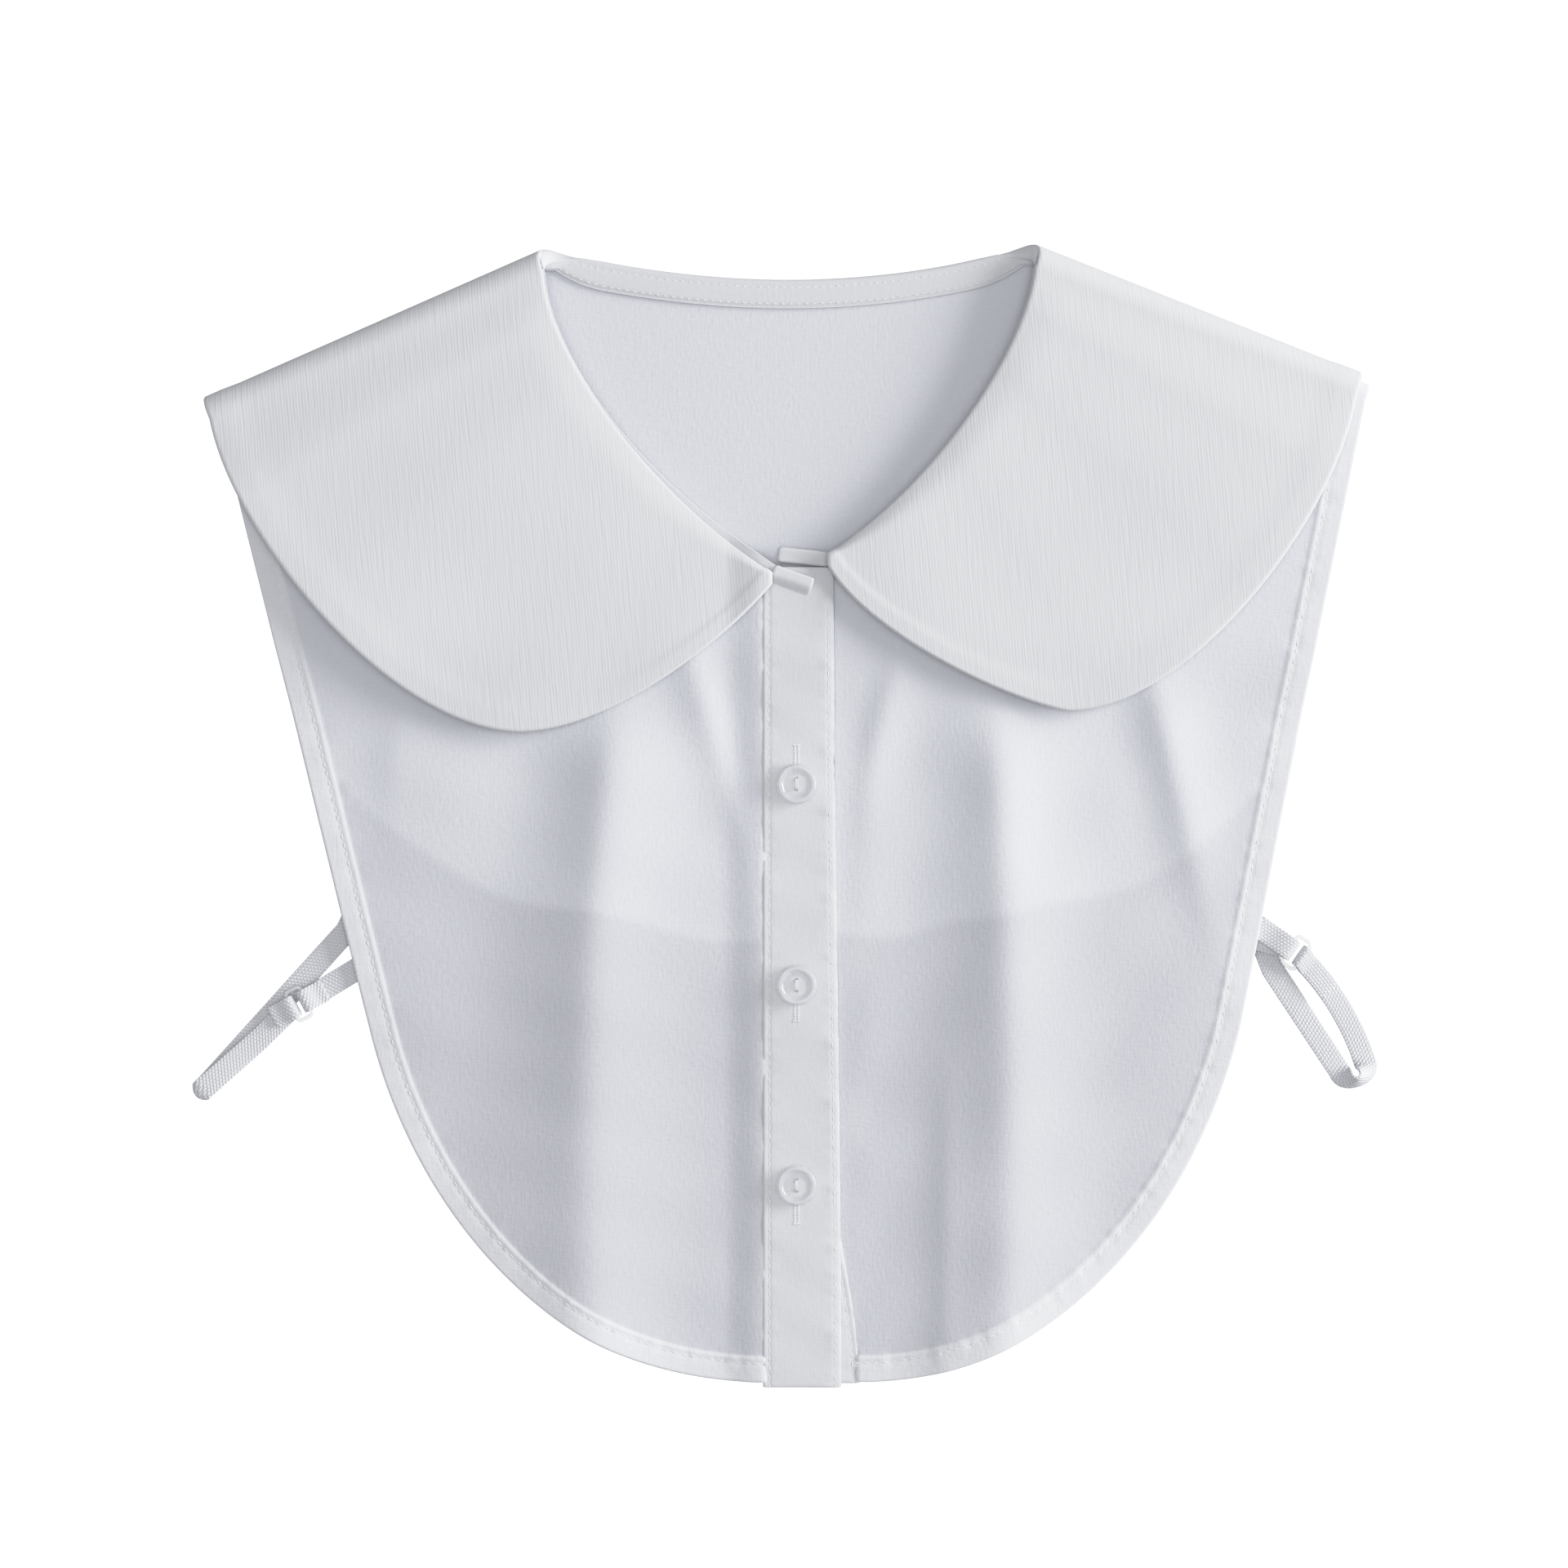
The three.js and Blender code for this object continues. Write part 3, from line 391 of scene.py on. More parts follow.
def front_collar_edge(side):
    start = shoulder_point(side, collar_tip(side), SHOULDER_TURN)
    span = half_neck + COLLAR_SHOULDER * math.cos(math.radians(SHOULDER_SLOPE))
    a, b, lobe, c, d = handles(side, span, LOBE_DROP, side["edge"])
    end = front_point(side) - (0, COLLAR_FRONT_EDGE)
    return np.concatenate([bezier(start, a, b, lobe), bezier(lobe, c, d, end)[1:]])


def back_collar_edge(side):
    start = shoulder_point(side, collar_tip(side) - COLLAR_BACK_INSET, SHOULDER_TURN)
    inset = COLLAR_BACK_INSET + COLLAR_BACK_TAPER
    down = shoulder_point(side, collar_tip(side) - inset, 0.55 * COLLAR_BACK)
    low = -BACK_NECK_DROP - COLLAR_BACK
    return bezier(start, down, (side["sign"] * half_neck, low), (0, low))


def stand_right(y):
    low = smoothstep(-y, 0.8 * BIB_LENGTH, BIB_LENGTH)
    return placket_right - SEAM + low * (PLACKET_FLARE + STAND_SHOWS)


def placket_edge(y):
    return placket_right + PLACKET_FLARE * smoothstep(-y, OPENING_TOP, BIB_LENGTH)


def opening_edge(side):
    """The inner edge of a front panel below the neck."""
    y = np.linspace(front_point(side)[1] - 0.3, HEM_WIDTH + 3 - BIB_LENGTH, FINE)
    x = np.full(FINE, PLACKET_LEFT + JOIN_UNDER) if side is LEFT else stand_right(y) - JOIN_UNDER
    return np.stack([x, y], axis=1)


def bib_edge(side):
    out = side["sign"] * BIB_HALF_WIDTH
    start = shoulder_point(side, BIB_SHOULDER, SHOULDER_TURN)
    waist = (BIB_OFFSET + out, -0.687 * BIB_LENGTH)
    curve = (BIB_OFFSET + 0.905 * out, -0.848 * BIB_LENGTH)
    flat = (BIB_OFFSET + 0.578 * out, -1.002 * BIB_LENGTH)
    foot = PLACKET_LEFT + JOIN_UNDER if side is LEFT else stand_right(-BIB_LENGTH) - JOIN_UNDER
    straight = np.linspace(start, waist, FINE)[:-1]
    return np.concatenate([straight, bezier(waist, curve, flat, (foot, -BIB_LENGTH))])


def back_edge(side):
    out = side["sign"] * (BIB_HALF_WIDTH - BACK_INSET)
    start = shoulder_point(side, BIB_SHOULDER - BACK_INSET, SHOULDER_TURN)
    hip = (BIB_OFFSET + 1.1 * out, -0.73 * BACK_LENGTH)
    curve = (BIB_OFFSET + 1.05 * out, -0.88 * BACK_LENGTH)
    flat = (BIB_OFFSET + 0.55 * out, -BACK_LENGTH)
    straight = np.linspace(start, hip, FINE)[:-1]
    return np.concatenate([straight, bezier(hip, curve, flat, (BIB_OFFSET, -BACK_LENGTH))])


# %% [markdown]
# From a grid of points to a piece of cloth
#
# Cloth has two faces and a rounded edge. `sheet` takes a grid of points down the middle of the
# cloth and two thicknesses, one to the outer face and one to the inner face. It places both faces
# along the normals and closes them with a rounded rim, so each piece is one closed body whose
# faces point outwards. It also keeps both faces' points, because the stitches are laid on them.

# %% The cloth builder
FACES = {}
RIM_STEPS = 4


def add_object(name, points, faces):
    mesh = bpy.data.meshes.new(name)
    mesh.from_pydata(((points + SHIFT) * MM).tolist(), [], faces)
    mesh.shade_smooth()
    piece = bpy.data.objects.new(name, mesh)
    bpy.context.scene.collection.objects.link(piece)
    return piece


def outwards(points, faces):
    """The same quads, turned round if the closed body that they make is inside out."""
    a, b, c, d = [points[faces[:, k]] for k in range(4)]
    volume = np.einsum("ij,ij->i", a, np.cross(b, c)).sum()
    volume += np.einsum("ij,ij->i", a, np.cross(c, d)).sum()
    return faces if volume > 0 else faces[:, ::-1]


def grid_normals(rows):
    count, width = rows.shape[:2]
    i, j = np.arange(count), np.arange(width)
    along = rows[np.minimum(i + 1, count - 1)] - rows[np.maximum(i - 1, 0)]
    over = rows[:, np.minimum(j + 1, width - 1)] - rows[:, np.maximum(j - 1, 0)]
    normals = np.cross(along, over)
    return normals / np.linalg.norm(normals, axis=2, keepdims=True)


def border(count, width):
    """The places of a grid's border points in order, as flat numbers."""
    first = np.arange(width)
    right = np.arange(1, count) * width + width - 1
    last = (count - 1) * width + np.arange(width - 2, -1, -1)
    left = np.arange(count - 2, 0, -1) * width
    return np.concatenate([first, right, last, left])


def sheet(name, rows, outer, inner, faces_up=True, rim=0.7, marks=None, uv=None):
    """A closed piece of cloth. faces_up says whether its outer face looks up at the grid's middle."""
    count, width = rows.shape[:2]
    normals = grid_normals(rows)
    if (normals[count // 2, width // 2, 2] > 0) != faces_up:
        normals = -normals
    outer = np.broadcast_to(outer, (count, width))[..., None]
    inner = np.broadcast_to(inner, (count, width))[..., None]
    top, under = rows + normals * outer, rows - normals * inner
    loop = border(count, width)
    middle, up = rows.reshape(-1, 3)[loop], normals.reshape(-1, 3)[loop]
    above, below = outer.reshape(-1, 1)[loop], inner.reshape(-1, 1)[loop]
    out = np.cross(np.roll(middle, -1, axis=0) - np.roll(middle, 1, axis=0), up)
    out /= np.linalg.norm(out, axis=1, keepdims=True)
    if np.dot(out[width // 2], rows[0, width // 2] - rows[1, width // 2]) < 0:
        out = -out
    rings = []
    for step in range(1, RIM_STEPS):
        angle = np.pi * step / RIM_STEPS
        high = above if math.cos(angle) > 0 else below
        reach = rim * (above + below) / 2 * math.sin(angle)
        rings.append(middle + up * high * math.cos(angle) + out * reach)
    points = np.concatenate([top.reshape(-1, 3), under.reshape(-1, 3), *rings])
    quads = cloth_quads(count, width, loop)
    quads = outwards(points, quads)
    piece = add_object(name, points, quads.tolist())
    source = np.concatenate([np.arange(count * width)] * 2 + [loop] * (RIM_STEPS - 1))
    for mark, values in (marks or {}).items():
        flat = np.broadcast_to(values, (count, width)).ravel()[source]
        piece.data.attributes.new(mark, "FLOAT", "POINT").data.foreach_set("value", flat)
    if uv is not None:
        corner = np.zeros(len(piece.data.loops), int)
        piece.data.loops.foreach_get("vertex_index", corner)
        flat = uv.reshape(-1, 2)[source][corner]
        piece.data.uv_layers.new(name="cloth").data.foreach_set("uv", (flat * MM).ravel())
    FACES[name] = {"outer": top, "inner": under, "normals": normals}
    print(f"{name}: {len(quads)} quads, one face {sheet_area(rows):.4f} m2")
    return piece


def cloth_quads(count, width, loop):
    i, j = np.meshgrid(np.arange(count - 1), np.arange(width - 1), indexing="ij")
    a = (i * width + j).ravel()
    b, c, d = a + width, a + width + 1, a + 1
    top = np.stack([a, b, c, d], axis=1)
    under = np.stack([a, d, c, b], axis=1) + count * width
    rings = [loop]
    for step in range(RIM_STEPS - 1):
        rings.append(2 * count * width + step * len(loop) + np.arange(len(loop)))
    rings.append(loop + count * width)
    rims = []
    for upper, lower in zip(rings, rings[1:]):
        rims.append(np.stack([upper, np.roll(upper, -1), np.roll(lower, -1), lower], axis=1))
    return np.concatenate([top, under, *rims])


def sheet_area(rows):
    a, b = rows[1:, :-1] - rows[:-1, :-1], rows[:-1, 1:] - rows[:-1, :-1]
    return np.linalg.norm(np.cross(a, b), axis=2).sum() * MM * MM


def lifted(plan, height):
    """Plan points with the height that a function gives them."""
    x, y = plan[..., 0], plan[..., 1]
    return np.concatenate([plan, height(x, y)[..., None]], axis=-1)


def between(inner, outer, steps):
    """Rows of plan points from an inner edge to an outer one."""
    return lerp(inner[:, None], outer[:, None], np.asarray(steps)[None, :, None])


# %% [markdown]
# Round the shoulder
#
# At the top the collar and the panels turn over a soft fold, from the front layer down to the back
# layer. Each sheet follows the same half turn at its own distance from the bib's cloth, as the
# pages of a folded magazine do.


# %% Rows round the shoulder fold
def neck_along(share):
    return lerp(NECK_FRONT_ALONG, NECK_BACK_ALONG, share**2)


def fold_closed(share):
    """How far the band's fold has closed over the neck edge, from 0 in front to 1 behind."""
    return smoothstep(share, 0.05, 0.5)


def shoulder_rows(side, offset, start, end, count, places):
    """Rows round the shoulder fold. The offset from the bib's cloth may vary over a row."""
    rows = []
    for share in np.linspace(start, end, count + 1):
        off = np.asarray(offset(share) if callable(offset) else offset, float)
        reach = SHOULDER_TURN - collar_offset - COLLAR_CLOTH / 2 + off
        rise = (shoulder_top - shoulder_bottom) / 2 + off
        plan = shoulder_point(side, places(share), SHOULDER_TURN - reach * math.sin(share * np.pi))
        height = (shoulder_top + shoulder_bottom) / 2 + rise * math.cos(share * np.pi)
        height = np.broadcast_to(height, len(plan))[:, None]
        rows.append(np.concatenate([plan, height], axis=1))
    return np.stack(rows)


# %% [markdown]
# The collar
#
# The collar is two layers of a closely ribbed cloth, sewn together inside out and turned, so its
# edge is round and a little thicker where the seam allowance lies inside. It starts at the left
# front point, widens into a lobe, turns over the shoulder, runs round under the back and comes
# forward again. One grid can follow all of that: rows run from the neck seam out to the free edge.


# %% Make the collar
TURN_ROWS = 20
LOBE_ROWS = 130
COLLAR_BACK_ROWS = 50
ALLOWANCE = 7.5
collar_steps = np.concatenate([[0, 0.008, 0.02, 0.035, 0.055, 0.08], np.linspace(0.11, 0.93, 26)])
collar_steps = np.concatenate([collar_steps, [0.95, 0.965, 0.978, 0.988, 0.995]])


def lobe_rows(side):
    neck, edge = spaced(front_neck(side), LOBE_ROWS), spaced(front_collar_edge(side), LOBE_ROWS)
    plan = between(neck, edge, collar_steps)
    at = np.linspace(1, 0, LOBE_ROWS + 1)[:, None]
    free = lerp(
        eased(at, side["lift_at"], side["lift_neck"]),
        eased(at, side["lift_at"], side["lift_edge"]),
        collar_steps[None],
    )
    stand = COLLAR_LIFT * free * smoothstep(collar_steps, -NECK_ROLL, NECK_ROLL)[None]
    soft = smoothstep(at, 0, 0.3) * (1 - smoothstep(at, 0.8, 1)) * collar_steps[None] ** 0.5

    def height(x, y):
        swell = slack(x, y, 11, 45, 90, 0.35) * soft
        return front_base(x, y) + lap_lift(side, x) + collar_offset + stand + swell

    return lifted(plan, height)


def collar_half(side):
    def places(share):
        tip = collar_tip(side) - COLLAR_BACK_INSET * share**2
        return lerp(neck_along(share), tip, collar_steps)

    turn = shoulder_rows(side, collar_offset, 0, 1, TURN_ROWS, places)
    neck = spaced(back_neck(side), COLLAR_BACK_ROWS)
    edge = spaced(back_collar_edge(side), COLLAR_BACK_ROWS)
    plan = between(neck, edge, collar_steps)
    back = lifted(plan, lambda x, y: 0 * x + COLLAR_CLOTH / 2)
    return np.concatenate([lobe_rows(side)[::-1][:-1], turn[:-1], back])


collar_grid = np.concatenate([collar_half(LEFT), collar_half(RIGHT)[::-1][1:]])
edge_away = np.linalg.norm(collar_grid - collar_grid[:, -1:], axis=2)
inside_seam = 0.28 * (1 - smoothstep(edge_away, ALLOWANCE - 2, ALLOWANCE + 1.5))
collar = sheet("collar_cloth_piece", collar_grid, 0.75 + inside_seam, 0.85, faces_up=False)

# %% [markdown]
# The neck band
#
# A narrow folded band covers the neck seam on the inside. At the back it shows through the neck
# opening with its two rows of stitches, and it is turned over the edges of the collar and the
# bib, so that the three show as one rounded fold. In front only a sliver of it shows along the
# left lobe. Its grid starts with the columns of that fold, which open between front and back.


# %% Make the neck band
BAND_STEPS = np.linspace(0, 1, 13)
FOLD_COLUMNS = 10
FOLD_REACH = 1.0
FOLD_HIDDEN = 0.5
fold_turn = np.linspace(0, 1, FOLD_COLUMNS, endpoint=False)
fold_outside = collar_offset + 0.2
back_rows_turn = smoothstep(np.arange(COLLAR_BACK_ROWS + 1), -2, 9)


def band_offsets(share):
    """Offsets from the bib's cloth: round the fold, then along the band's own plane."""
    middle, half = (fold_outside - band_offset) / 2, (fold_outside + band_offset) / 2
    fold = middle + half * np.cos(fold_turn * np.pi)
    fold = lerp(-band_offset, fold, fold_closed(share))
    return np.concatenate([fold, np.full(len(BAND_STEPS), -band_offset)])


def band_places(share, start, width):
    """Distances inward of the neck edge: the fold stands proud, then the band lies below it."""
    open_fold = 0.05 * FOLD_COLUMNS * (1 - fold_turn)
    closed_fold = FOLD_REACH * np.sin(np.pi * fold_turn) - FOLD_HIDDEN * (1 - fold_turn)
    proud = lerp(open_fold, closed_fold, fold_closed(share))
    return start + np.concatenate([-proud, width * BAND_STEPS])


def band_half(side):
    share = np.linspace(0, 1, LOBE_ROWS + 1)
    shows = lerp(0.2, side["peek"], smoothstep(share, 0.3, 1))
    neck = spaced(front_neck(side), LOBE_ROWS)
    columns = [inward(side, neck, shows - place) for place in band_places(0, 0, FRONT_BAND_WIDTH)]
    plan = np.stack(columns, axis=1)
    front = lifted(plan, lambda x, y: front_base(x, y) + lap_lift(side, x) - band_offset)

    def places(share):
        return band_places(share, neck_along(share) - 0.2, lerp(FRONT_BAND_WIDTH, BAND_WIDTH, share))

    turn = shoulder_rows(side, band_offsets, 0, 1, TURN_ROWS, places)
    neck = spaced(back_neck(side), COLLAR_BACK_ROWS)
    along_shoulder = shoulder_point(side, 1, 0) - shoulder_point(side, 0, 0)
    across = lerp(along_shoulder, inward(side, neck, -1) - neck, back_rows_turn[:, None])
    across /= np.linalg.norm(across, axis=1, keepdims=True)
    plan = neck[:, None] + across[:, None] * band_places(1, -0.2, BAND_WIDTH)[None, :, None]
    back = lifted(plan, lambda x, y: back_height(x, y) - band_offsets(1))
    return np.concatenate([front[::-1][:-1], turn, back[1:]])


band_grid = np.concatenate([band_half(LEFT), band_half(RIGHT)[::-1][1:]])
band_place = np.concatenate([np.zeros(FOLD_COLUMNS), BAND_STEPS * BAND_WIDTH])
band_groove = bell(np.minimum(band_place, BAND_WIDTH - band_place) - 1.1, 0.5)
lies_down = smoothstep(band_place, BAND_WIDTH - 1.2, BAND_WIDTH)
band_outer = 0.45 + 0.25 * lies_down
band_inner = 0.45 - 0.12 * band_groove - 0.75 * lies_down
neck_band = sheet("neck_band_piece", band_grid, band_outer[None], band_inner[None], faces_up=False, rim=0.4)

# %% [markdown]
# The panels and their hems
#
# The front is two panels, the back is one. Their outer edge is turned in twice and stitched, which
# leaves a band of firmer, whiter cloth with a fine ridge where the inner fold ends. A stitch pulls
# the layers together, so there is a groove along it, and the cloth puckers between the stitches.
# The grid gets close columns across the hem and wide ones across the smooth cloth.


# %% Hem profile and panel builder
HEM_DEPTHS = np.array([9.6, 8.7, 8.1, 7.8, 7.5, 7.2, 6.8, 6.4, 6.0, 5.6, 5.2, 4.6, 3.8, 2.8, 1.8, 1.0, 0.5])
HEM_STITCH = 5.4
HEM_RISE = 0.22
HEM_RIDGE = 0.1
HEM_GROOVE = 0.12
CREASE_WIDTH = 0.5
FIELD_STEPS = np.linspace(0, 1, 55)[:-1]
FRONT_NECK_ROWS = 80
OPENING_ROWS = 200
BACK_ROWS = 110


def pucker(along, seed, high):
    """Short uneven waves along a seam."""
    draw = np.random.default_rng(seed)
    total = 0 * along
    for length in (4.1, 5.9, 8.3, 13.7, 21.0):
        total = total + np.sin(2 * np.pi * along / length + draw.uniform(0, 2 * np.pi))
    return high * total / 2.5


def hem_profile(depth):
    """How much thicker the cloth is above its thin part, by depth in from the turned edge."""
    thick = HEM_RISE * (1 - smoothstep(depth, HEM_WIDTH - 0.6, HEM_WIDTH + 0.7))
    ridge = HEM_RIDGE * bell(depth - HEM_WIDTH + 0.7, CREASE_WIDTH)
    groove = HEM_GROOVE * bell(depth - HEM_STITCH, CREASE_WIDTH)
    return thick + ridge - groove


def panel_plan(side, inner, edge, rows):
    outer = spaced(edge, rows)
    hem = np.stack([inward(side, outer, depth) for depth in HEM_DEPTHS], axis=1)
    field = between(inner, hem[:, 0], FIELD_STEPS)
    return np.concatenate([field, hem], axis=1)


def panel_places(tip):
    def places(share):
        neck, start = neck_along(share), tip(share) - HEM_DEPTHS[0]
        return np.concatenate([lerp(neck, start, FIELD_STEPS), tip(share) - HEM_DEPTHS])

    return places


def panel_depths():
    return np.concatenate([np.full(len(FIELD_STEPS), 40.0), HEM_DEPTHS])


def hem_relief(rows, seed, high=0.16):
    """The hem's thickness and its puckers over a panel's grid."""
    depth = panel_depths()[None]
    outer = lengths_along(rows[:, -1])[:, None]
    near = bell(depth - HEM_STITCH - 0.6, 2.4)
    return hem_profile(depth) + near * pucker(outer, seed, high)


def backed_lighter(x, y):
    """1 where the back panel lies behind the thin front cloth, 0 below its rounded hem. The mask sets the
    bib's painted shade: below the hem the single cloth is painted darker, as if the shaded table showed
    through it.
    """
    low = np.concatenate([back_edge(LEFT), back_edge(RIGHT)[::-1]])
    low = low[low[:, 1] < -150]
    order = np.argsort(low[:, 0])
    hem = np.interp(x, low[order, 0], low[order, 1])
    wander = 1.6 * np.sin(x / 9.5 + 0.6) + 3.2 * bell(x - 45, 11) - 0.8
    return smoothstep(y - hem - wander, -1.4, 1.4)


# %% Make the three panels
def front_panel(side, name, seed):
    neck, opening = spaced(front_neck(side), FRONT_NECK_ROWS), spaced(opening_edge(side), OPENING_ROWS)
    inner = np.concatenate([neck[:-1], opening])
    plan = panel_plan(side, inner, bib_edge(side), FRONT_NECK_ROWS + OPENING_ROWS)

    def height(x, y):
        free = smoothstep(np.abs(x - BIB_OFFSET), PLACKET_WIDTH / 2, PLACKET_WIDTH)
        soft = slack(x, y, seed, 22, 60, 0.22) * smoothstep(-y, 70, 110) * free
        return front_height(side, x, y) + soft

    places = panel_places(lambda share: BIB_SHOULDER)
    turn = shoulder_rows(side, 0, 0.5 - SEAM_TURN, 0, TURN_ROWS // 2, places)
    rows = np.concatenate([turn, lifted(plan, height)[1:]])
    relief = hem_relief(rows, seed)
    # These marks set the bib's painted shade: darker on the single cloth, lighter over the back panel, whiter
    # on the hem.
    marks = {"backed_lighter": backed_lighter(rows[..., 0], rows[..., 1]), "hem": hem_mark(rows)}
    return sheet(name, rows, 0.45 + relief, 0.4 + relief / 2, marks=marks)


def hem_mark(rows):
    """1 on the turned hem and 0 on the thin cloth."""
    on_hem = 1 - smoothstep(panel_depths(), HEM_WIDTH - 0.1, HEM_WIDTH + 0.5)
    return np.broadcast_to(on_hem[None], rows.shape[:2])


def back_half(side):
    edge = back_edge(side)
    plan = panel_plan(side, spaced(back_neck(side), BACK_ROWS), edge, BACK_ROWS)

    def tip(share):
        return BIB_SHOULDER - BACK_INSET * (2 * share - 1)

    turn = shoulder_rows(side, 0, 0.5 + SEAM_TURN, 1, TURN_ROWS // 2, panel_places(tip))
    return np.concatenate([turn, lifted(plan, back_height)[1:]])


bib_left = front_panel(LEFT, "front_left_piece", 3)
bib_right = front_panel(RIGHT, "front_right_piece", 5)
back_grid = np.concatenate([back_half(LEFT), back_half(RIGHT)[::-1][1:]])
back_relief = hem_relief(back_grid, 8, 0.1)
back_marks = {"backed_lighter": np.ones(1), "hem": hem_mark(back_grid)}
back_panel = sheet(
    "back_piece", back_grid, 0.4 + back_relief / 2, 0.4 + back_relief / 2, faces_up=False, marks=back_marks
)

# %% [markdown]
# The opening
#
# The left front ends in a placket: a folded strip that carries the buttonholes, stitched down both
# of its edges. Beneath it lies the button stand of the right front, which swings out at the hem, so
# that its own edge and stitches show there. Both are strips whose rows go down the opening.

# %% Make the placket and the button stand
BAND_COLUMNS = np.linspace(0, 1, 41)
BAND_ROWS = 260
EDGE_STITCH = 1.5
EDGE_FALL = 0.4
JOIN_FALL = 0.04
STAND_LIFT = 0.14
GROOVE_WIDTH = 0.45
GROOVE_DEPTH = 0.16
PUCKER_REACH = 2.2
LEFT_PUCKER = 0.09
RIGHT_PUCKER = 0.15
EDGE_ROUND = 1.3


def opening_strip(name, left, right, top, bottom, lift, cloth, falls, seed):
    y = -np.linspace(top, bottom, BAND_ROWS + 1)
    start = np.stack([np.full_like(y, left), y], axis=1)
    end = np.stack([right(y), y], axis=1)
    plan = between(start, end, BAND_COLUMNS)
    width = (end - start)[:, :1]
    near_left, near_right = BAND_COLUMNS[None] * width, (1 - BAND_COLUMNS[None]) * width
    from_left, from_right = near_left - EDGE_STITCH, near_right - EDGE_STITCH
    seam = bell(from_left, GROOVE_WIDTH) + bell(from_right, GROOVE_WIDTH)
    left_waves = bell(from_left, PUCKER_REACH) * pucker(-y, seed, LEFT_PUCKER)[:, None]
    right_waves = bell(from_right, PUCKER_REACH) * pucker(-y, seed + 1, RIGHT_PUCKER)[:, None]
    x_grid, y_grid = plan[..., 0], plan[..., 1]
    soft = slack(x_grid, y_grid, seed, 14, 34, 0.12)
    rows = lifted(plan, lambda x, y: front_base(x, y) + fold_height(x, y) + lift)
    outer = cloth / 2 - 0.1 + left_waves + right_waves + soft - GROOVE_DEPTH * seam
    edge = np.minimum(near_left, near_right)
    for fall, near in zip(falls, (near_left, near_right)):
        outer = outer - fall * (1 - smoothstep(near, 0, EDGE_ROUND))
    inner = cloth / 2 - 0.1 - 0.15 * (1 - smoothstep(edge, 0, EDGE_ROUND))
    return sheet(name, rows, outer, inner, rim=0.5)


placket_top = opening_strip(
    "placket_piece",
    PLACKET_LEFT,
    placket_edge,
    PLACKET_TOP,
    BIB_LENGTH + PLACKET_DROP,
    overlap_lift,
    PLACKET_CLOTH,
    (JOIN_FALL, EDGE_FALL),
    21,
)
placket_under = opening_strip(
    "button_stand_piece",
    PLACKET_LEFT + STAND_INSET,
    stand_right,
    OPENING_TOP,
    BIB_LENGTH,
    STAND_LIFT,
    STAND_CLOTH,
    (JOIN_FALL, JOIN_FALL),
    31,
)

# %% [markdown]
# The ends of the neck band
#
# Where the lobes meet, the band ends in two small folded tabs. The left one crosses the opening
# with a square end, and its lower edge falls away into shade. The right one lies behind, nearly
# level. They are short strips with a crest across them, made with the same builder.

# %% Make the two tabs
TABS = {
    "left": {
        "side": LEFT,
        "x": 0.7,
        "down": 0,
        "turn": -19,
        "length": 11.4,
        "width": 5.2,
        "high": 3.5,
        "fall": 1.9,
    },
    "right": {
        "side": RIGHT,
        "x": -0.4,
        "down": 0.9,
        "turn": 174,
        "length": 14,
        "width": 3.7,
        "high": 0.3,
        "fall": -0.2,
    },
}


def neck_tab(name, tab):
    front = front_point(tab["side"])
    start = front + (tab["x"], -tab["down"])
    way = np.array([math.cos(math.radians(tab["turn"])), math.sin(math.radians(tab["turn"]))])
    beside = np.array([-way[1], way[0]])
    along = np.linspace(0.3, tab["length"] - 0.3, 24)[:, None, None]
    over = np.linspace(0.5, -0.5, 13)[None, :, None] * (tab["width"] - 0.6)
    plan = start + along * way + over * beside
    base = float(front_base(front[0], front[1])) + tab["high"]
    lower = smoothstep(-over[..., 0] / tab["width"], -0.12, 0.5) * tab["fall"]
    rows = lifted(plan, lambda x, y: base - lower + 0 * x)
    return sheet(name, rows, TAB_CLOTH / 2 - 0.1, TAB_CLOTH / 2 - 0.1, rim=0.9)


tab_left = neck_tab("tab_left_piece", TABS["left"])
tab_right = neck_tab("tab_right_piece", TABS["right"])

# %% [markdown]
# The elastic loops
#
# An elastic strap at each side keeps the bib down under the arm. It leaves the back panel, turns in
# a loop, and comes back to a small clear ring, which a short tab holds to the front hem. A strap is
# a centre line with a direction across it at every station, which also gives it a UV map: along the
# strap and across it, so its woven pattern can follow every turn.

# %% Strap stations
LOOPS = {
    "left": {"exit": (-1.055, 0.603), "end": (-1.385, 0.743), "ring": (-1.16, 0.666), "tab": (-1.005, 0.63)},
    "right": {"exit": (1.074, 0.635), "end": (1.26, 0.723), "ring": (1.127, 0.621), "tab": (1.012, 0.607)},
}
RING_HEADING = {"left": -152, "right": -35}
strap_mid = STRAP_CLOTH / 2
strap_above = STRAP_CLOTH + SEAM + strap_mid
wrap = RING_WIRE / 2 + BAR_GAP + strap_mid
ring_height = strap_above + wrap


def heading(degrees):
    angle = math.radians(degrees)
    return np.array([math.cos(angle), math.sin(angle), 0.0])


def heading_of(start, end):
    return math.degrees(math.atan2(end[1] - start[1], end[0] - start[0]))


def loop_place(place, z=0.0):
    return np.array([BIB_OFFSET + place[0] * BIB_HALF_WIDTH, -place[1] * BIB_LENGTH, z])


def at_height(point, z):
    return np.array([point[0], point[1], z])


def round_bar(ring, way, back=FOLD_BACK):
    """Round a bar of the ring from below and back above the strap that came in."""
    bar = ring - heading(way) * RING_BARS / 2
    stations = []
    for share in np.linspace(0, 1, 17):
        angle = (share - 0.5) * math.pi
        at = bar + heading(way) * wrap * math.cos(angle)
        stations.append((at_height(at, ring_height + wrap * math.sin(angle)), heading(way + 90)))
    for share in np.linspace(0, 1, 8)[1:]:
        at = bar - heading(way) * back * share
        high = lerp(ring_height + wrap, strap_above + STRAP_CLOTH + BAR_GAP, smoothstep(share, 0, 0.7))
        stations.append((at_height(at, high), heading(way + 90)))
    return stations


